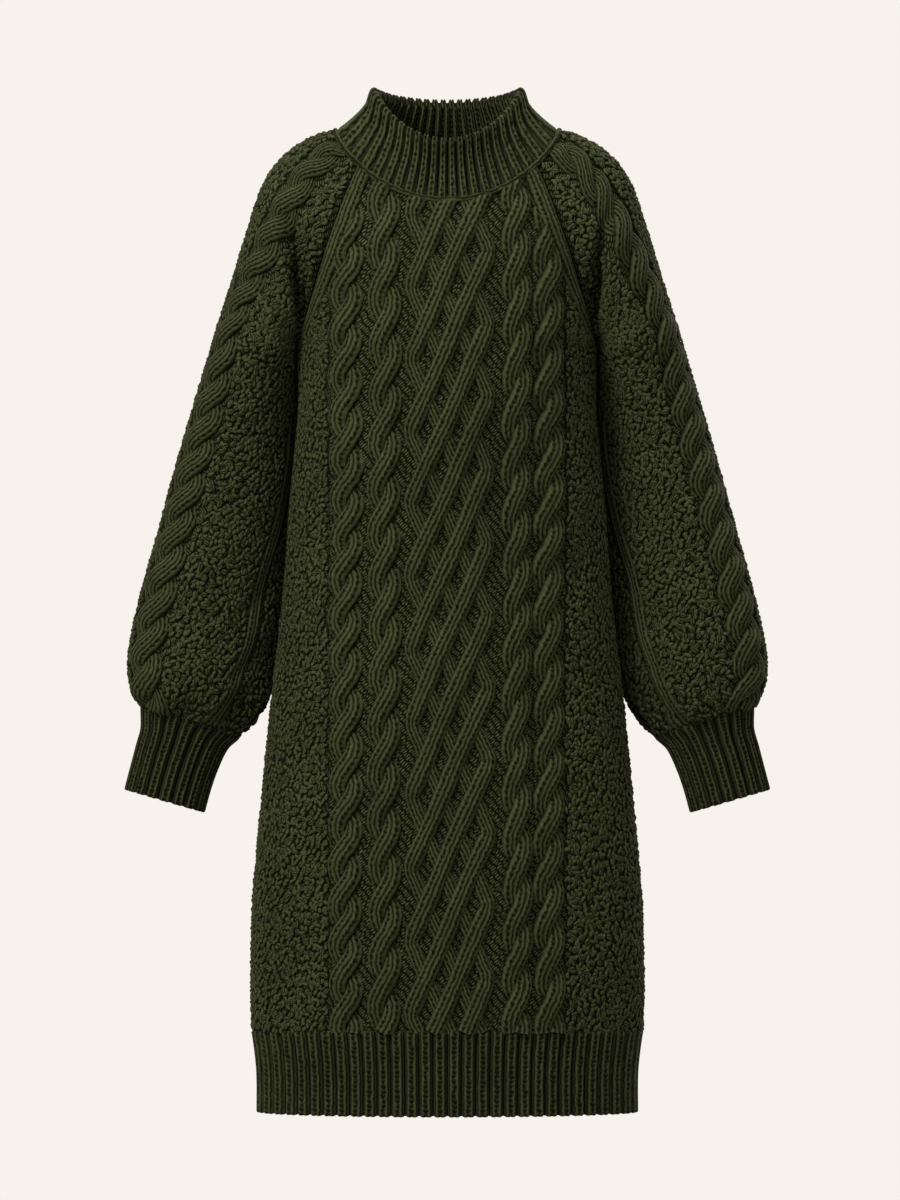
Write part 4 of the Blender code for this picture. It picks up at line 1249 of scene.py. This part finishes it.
def build_collar(gather):
    ribs = int(4 * COLLAR_RIBS_PER_QUARTER)
    at, up, stitch_u = rib_columns(ribs, 0.88)
    quarter = at / COLLAR_RIBS_PER_QUARTER + 2.0
    base = collar_angle(quarter, COLLAR_BASE_CROWD) - 2.0 * math.pi
    rim = collar_angle(quarter, COLLAR_RIM_CROWD) - 2.0 * math.pi
    low, high = neckline(base), oval(rim, COLLAR_RIM)
    high[:, 2] += 0.0012
    shares = np.array((0.0, 0.04, 0.09, 0.16, 0.25, 0.35, 0.46, 0.57, 0.67, 0.76, 0.84, 0.90))
    outer, inner = [], []
    for share in shares:
        out = neckline_out(base + (rim - base) * share)
        hollow = COLLAR_HOLLOW * math.sin(math.pi * share)
        line = low + (high - low) * share - out * hollow
        relief = 0.30 + 0.70 * float(ramp(share, 0.02, 0.16))
        soft = 1.0 - 0.25 * float(ramp(share, 0.80, 0.92))
        tuck = -0.0012 * (1.0 - float(ramp(share, 0.0, 0.10)))
        roll = 0.0030 * float(ramp(share, 0.62, 0.90)) * (1.0 + 0.5 * ramp(np.abs(np.sin(rim)), 0.7, 1.0))
        outer.append(line + out * (COLLAR_DEEP * relief * soft * up + tuck + roll + 0.0008)[:, None])
        inner.append(line - out * (RIB_WALL + 0.4 * roll - COLLAR_DEEP * 0.6 * relief * (1.0 + up))[:, None])
    outer, inner = np.array(outer), np.array(inner)
    scallop = ramp(shares, 0.7, 1.0)[:, None] * (0.0012 * (up + 0.4))[None, :]
    outer[..., 2] += scallop
    inner[..., 2] += scallop
    # the collar's grooves get painted shade deepened towards the rim, and its inside painted light
    rib_wall(gather, outer, inner, stitch_u, shares * COLLAR_LENGTH, True, lip_height=1.05,
             rim_painted_shade=0.85, inside_painted_light=0.35)


CORD_RADIUS = 0.0026
CORD_TURNS = 260
CORD_SIDES = 8
CORD_ROWS = 170.0        # rows of stitches round the cord's length


def build_collar_seam(gather):
    """The rolled seam cord round the base of the collar."""
    turns, sides = CORD_TURNS, CORD_SIDES
    angle = np.linspace(-math.pi, math.pi, turns + 1)
    middle = neckline(angle)
    out = neckline_out(angle)
    ahead = unit(np.gradient(middle, axis=0))
    up = unit(np.cross(out, ahead))
    round_turn = np.linspace(0.0, 2 * math.pi, sides + 1)
    size = CORD_RADIUS * (1.0 + 0.10 * np.sin(angle * 97.0))
    ring = (middle[:, None] + out[:, None] * (0.0002 + size[:, None] * np.cos(round_turn))[..., None]
            + up[:, None] * (-0.0004 + size[:, None] * np.sin(round_turn))[..., None])
    number = np.arange((turns + 1) * (sides + 1)).reshape(turns + 1, sides + 1)
    number[:, -1] = number[:, 0]
    number[-1] = number[0]
    stitch = plane(np.linspace(0.0, 1.0, sides + 1), np.linspace(0.0, CORD_ROWS, turns + 1))
    bake = plane(np.linspace(0.02, 0.98, sides + 1), np.linspace(0.02, 0.98, turns + 1))
    gather.add(ring, [cells(number, stitch, bake)])


HEM_LENGTH = 0.080
HEM_DEEP = 0.0044
HEM_RIBS = 30
HEM_CROWD = 0.72         # share of ribs spread by x rather than by angle
HEM_TUCK = 0.0030
HEM_EDGE_RISE = 0.0026   # the rounded edge of the knitting ends this far above the wall's own edge
HEM_EDGE_DROP = 0.0030


def build_hem(gather, front):
    at, up, stitch_u = rib_columns(HEM_RIBS)
    angles = np.linspace(-math.pi / 2, math.pi / 2, 800)
    count = HEM_CROWD * (np.sin(angles) + 1.0) / 2.0 + (1.0 - HEM_CROWD) * (angles / math.pi + 0.5)
    u = np.interp(at / HEM_RIBS, count, angles) / (math.pi / 2)
    foot = HEM_SIDE_Z - HEM_EDGE_DROP * np.cos(u * math.pi / 2) + HEM_EDGE_RISE
    shares = np.linspace(0.0, 1.0, 25)
    sign = 1.0 if front else -1.0
    outer, inner = [], []
    for share in shares:
        z = HEM_SEAM_Z + (foot - HEM_SEAM_Z) * share
        point = body_point(u, z, front)
        side = body_point(u + 0.002, z, front) - body_point(u - 0.002, z, front)
        out = unit(np.cross(np.array([0.0, 0.0, -1.0]), side)) * sign
        relief = 0.55 + 0.45 * float(ramp(share, 0.0, 0.07))
        puff = 0.0004 * (1.0 - float(ramp(share, 0.0, 0.05)))
        outer.append(point + out * (HEM_DEEP * relief * up + puff + 0.0010)[:, None])
        inner.append(point - out * (RIB_WALL - HEM_DEEP * 0.5 * relief * (1.0 + up))[:, None])
    outer, inner = np.array(outer), np.array(inner)
    scallop = ramp(shares, 0.85, 1.0)[:, None] * (-0.0005 * (up + 0.4))[None, :]
    outer[..., 2] += scallop
    inner[..., 2] += scallop
    # the first row of ribbing rises out from under the last row of the panel
    tuck = np.array((0.0, 0.0, HEM_TUCK))
    back_in = (inner[:1] - outer[:1]) * 0.45
    outer = np.concatenate([outer[:1] + tuck + back_in, outer])
    inner = np.concatenate([inner[:1] + tuck, inner])
    lengths = np.append(-HEM_TUCK, shares * HEM_LENGTH)
    if not front:
        outer, inner, stitch_u = outer[:, ::-1], inner[:, ::-1], stitch_u[::-1]
    rib_wall(gather, outer, inner, stitch_u, lengths, False)


CUFF_LENGTH = 0.092
CUFF_DEEP = 0.0048
CUFF_RIBS = 18
CUFF_TUCK = 0.006        # how far the ribbing reaches up inside the gathered sleeve


def build_cuff(gather):
    at, up, stitch_u = rib_columns(CUFF_RIBS, 0.90)
    share = at / CUFF_RIBS * 2.0 - 1.0
    rows = np.linspace(0.0, 3.96, 27)
    r, s = np.meshgrid(rows, share, indexing="ij")
    point = cuff_point(r, s)
    out = outward(cuff_point, r, s, last=4.0)
    point[:, -1], out[:, -1] = point[:, 0], out[:, 0]
    relief = (0.45 + 0.55 * ramp(rows, 0.0, 0.45))[:, None]
    outer = point + out * (CUFF_DEEP * relief * up[None, :] + 0.0008)[..., None]
    inner = point - out * (RIB_WALL - CUFF_DEEP * 0.5 * relief * (1.0 + up[None, :]))[..., None]
    tucked = unit(point[:1] - point[1:2]) * CUFF_TUCK
    outer = np.concatenate([outer[:1] + tucked - out[:1] * 0.0012, outer])
    inner = np.concatenate([inner[:1] + tucked - out[:1] * 0.0012, inner])
    lengths = np.append(-CUFF_TUCK, rows / 4.0 * CUFF_LENGTH)
    rib_wall(gather, outer, inner, stitch_u, lengths, True)


# ---------------------------------------------------------------- put the pieces together
WOOL_KNIT = wool("olive_wool_knit_columns", "knit")
WOOL_LUMP = wool("olive_wool_moss", "lump")
# the ground's tint of 1.12 is painted light: it lightens the sunken ground against its shade
WOOL_GROUND = wool("olive_wool_ground", "ground", 1.12)
WOOL_RIB = wool("olive_wool_ribbing", "knit", 0.95)
WOOL_COLLAR = wool("olive_wool_collar_ribbing", "rib", 0.98)


def add(name, node, material, build, flip=False):
    gather = Gather()
    build(gather)
    piece = gather.piece(name, material, flip)
    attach(piece, "root")
    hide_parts(node)
    return piece


# front, word, length of a cable's faces, sides of a moss stitch, seed
for front, word, step, sides, seed in ((True, "front", 0.0027, 7, 11), (False, "back", 0.0032, 6, 12)):
    node = word + "_panel"
    ground = add(node + "_knit", node, WOOL_GROUND, lambda g: panel_ground(g, front))
    cables = add(node + "_cables", node, WOOL_KNIT, lambda g: panel_strands(g, front, step))
    bands = add(node + "_raglan_bands", node, WOOL_KNIT, lambda g: raglan_bands(g, front, 0.003))
    moss = add(node + "_moss", node, WOOL_LUMP, lambda g: panel_moss(g, front, sides, seed))

# hand, mirrored, lean of the stitches, turn of the folds, seed
for hand, flip, lean, turn, seed in (("right", False, 1.0, 1.0, 22), ("left", True, -1.0, 0.0, 21)):
    node = "sleeve_" + hand
    ground = add(node + "_knit", node, WOOL_GROUND, lambda g: sleeve_ground(g, turn), flip)
    cables = add(node + "_cable", node, WOOL_KNIT, lambda g: sleeve_strands(g, lean, turn, 0.0028), flip)
    moss = add(node + "_moss", node, WOOL_LUMP, lambda g: sleeve_moss(g, turn, 6, seed, lean), flip)
    cuff = add("cuff_" + hand + "_knit", "cuff_" + hand, WOOL_RIB, build_cuff, flip)

collar = add("collar_rib_knit", "collar_rib", WOOL_COLLAR, build_collar)
seam = add("collar_rib_seam", "collar_rib", WOOL_RIB, build_collar_seam)
for front, word in ((True, "front"), (False, "back")):
    hem = add("hem_rib_" + word + "_knit", "hem_rib_" + word, WOOL_RIB, lambda g: build_hem(g, front))

# ---------------------------------------------------------------- studio
CAMERA_FAR = 24.0
FRAME_HEIGHT = 1.200
FRAME_MIDDLE = (0.0027, -0.466)
BACKDROP = (0.930, 0.888, 0.838, 1.0)
LAMP = (1.0, 0.985, 0.96)
AIM = (0.0, 0.0, -0.4)
FLOOR_Z = -1.35
FLOOR_COLOUR = (0.42, 0.40, 0.372, 1.0)

scene = bpy.context.scene
camera_data = bpy.data.cameras.new("camera")
camera_data.sensor_width = 36.0
camera_data.lens = camera_data.sensor_width * CAMERA_FAR / FRAME_HEIGHT
camera_data.clip_end = 60.0
camera = bpy.data.objects.new("camera", camera_data)
camera.location = (FRAME_MIDDLE[0], -CAMERA_FAR, FRAME_MIDDLE[1])
camera.rotation_euler = (math.pi / 2, 0.0, 0.0)
bpy.context.collection.objects.link(camera)
scene.camera = camera
scene.view_settings.view_transform = "Standard"

world = bpy.data.worlds.new("studio")
world.use_nodes = True
sky = world.node_tree.nodes["Background"]
sky.inputs["Color"].default_value = BACKDROP
sky.inputs["Strength"].default_value = 1.0
scene.world = world


def area_light(name, place, size, power):
    data = bpy.data.lights.new(name, "AREA")
    data.shape = "RECTANGLE"
    data.size, data.size_y = size, size
    data.energy = power
    data.color = LAMP
    light = bpy.data.objects.new(name, data)
    light.location = place
    direction = np.array(AIM) - np.array(place)
    from_up = math.atan2(math.hypot(direction[0], direction[1]), -direction[2])
    light.rotation_euler = (from_up, 0.0, math.atan2(direction[1], direction[0]) - math.pi / 2)
    bpy.context.collection.objects.link(light)


area_light("key", (-1.9, -2.3, 1.5), 0.9, 165.0)
area_light("top", (0.3, -0.4, 2.2), 1.2, 60.0)
area_light("back", (1.7, 2.6, 1.3), 1.2, 120.0)

bpy.ops.mesh.primitive_circle_add(vertices=96, radius=2.6, fill_type="NGON", location=(0.0, 0.0, FLOOR_Z))
floor = bpy.context.object
floor.name = "floor"
paint = bpy.data.materials.new("pale_floor")
paint.use_nodes = True
matt = paint.node_tree.nodes["Principled BSDF"]
matt.inputs["Base Color"].default_value = FLOOR_COLOUR
matt.inputs["Roughness"].default_value = 0.9
floor.data.materials.append(paint)
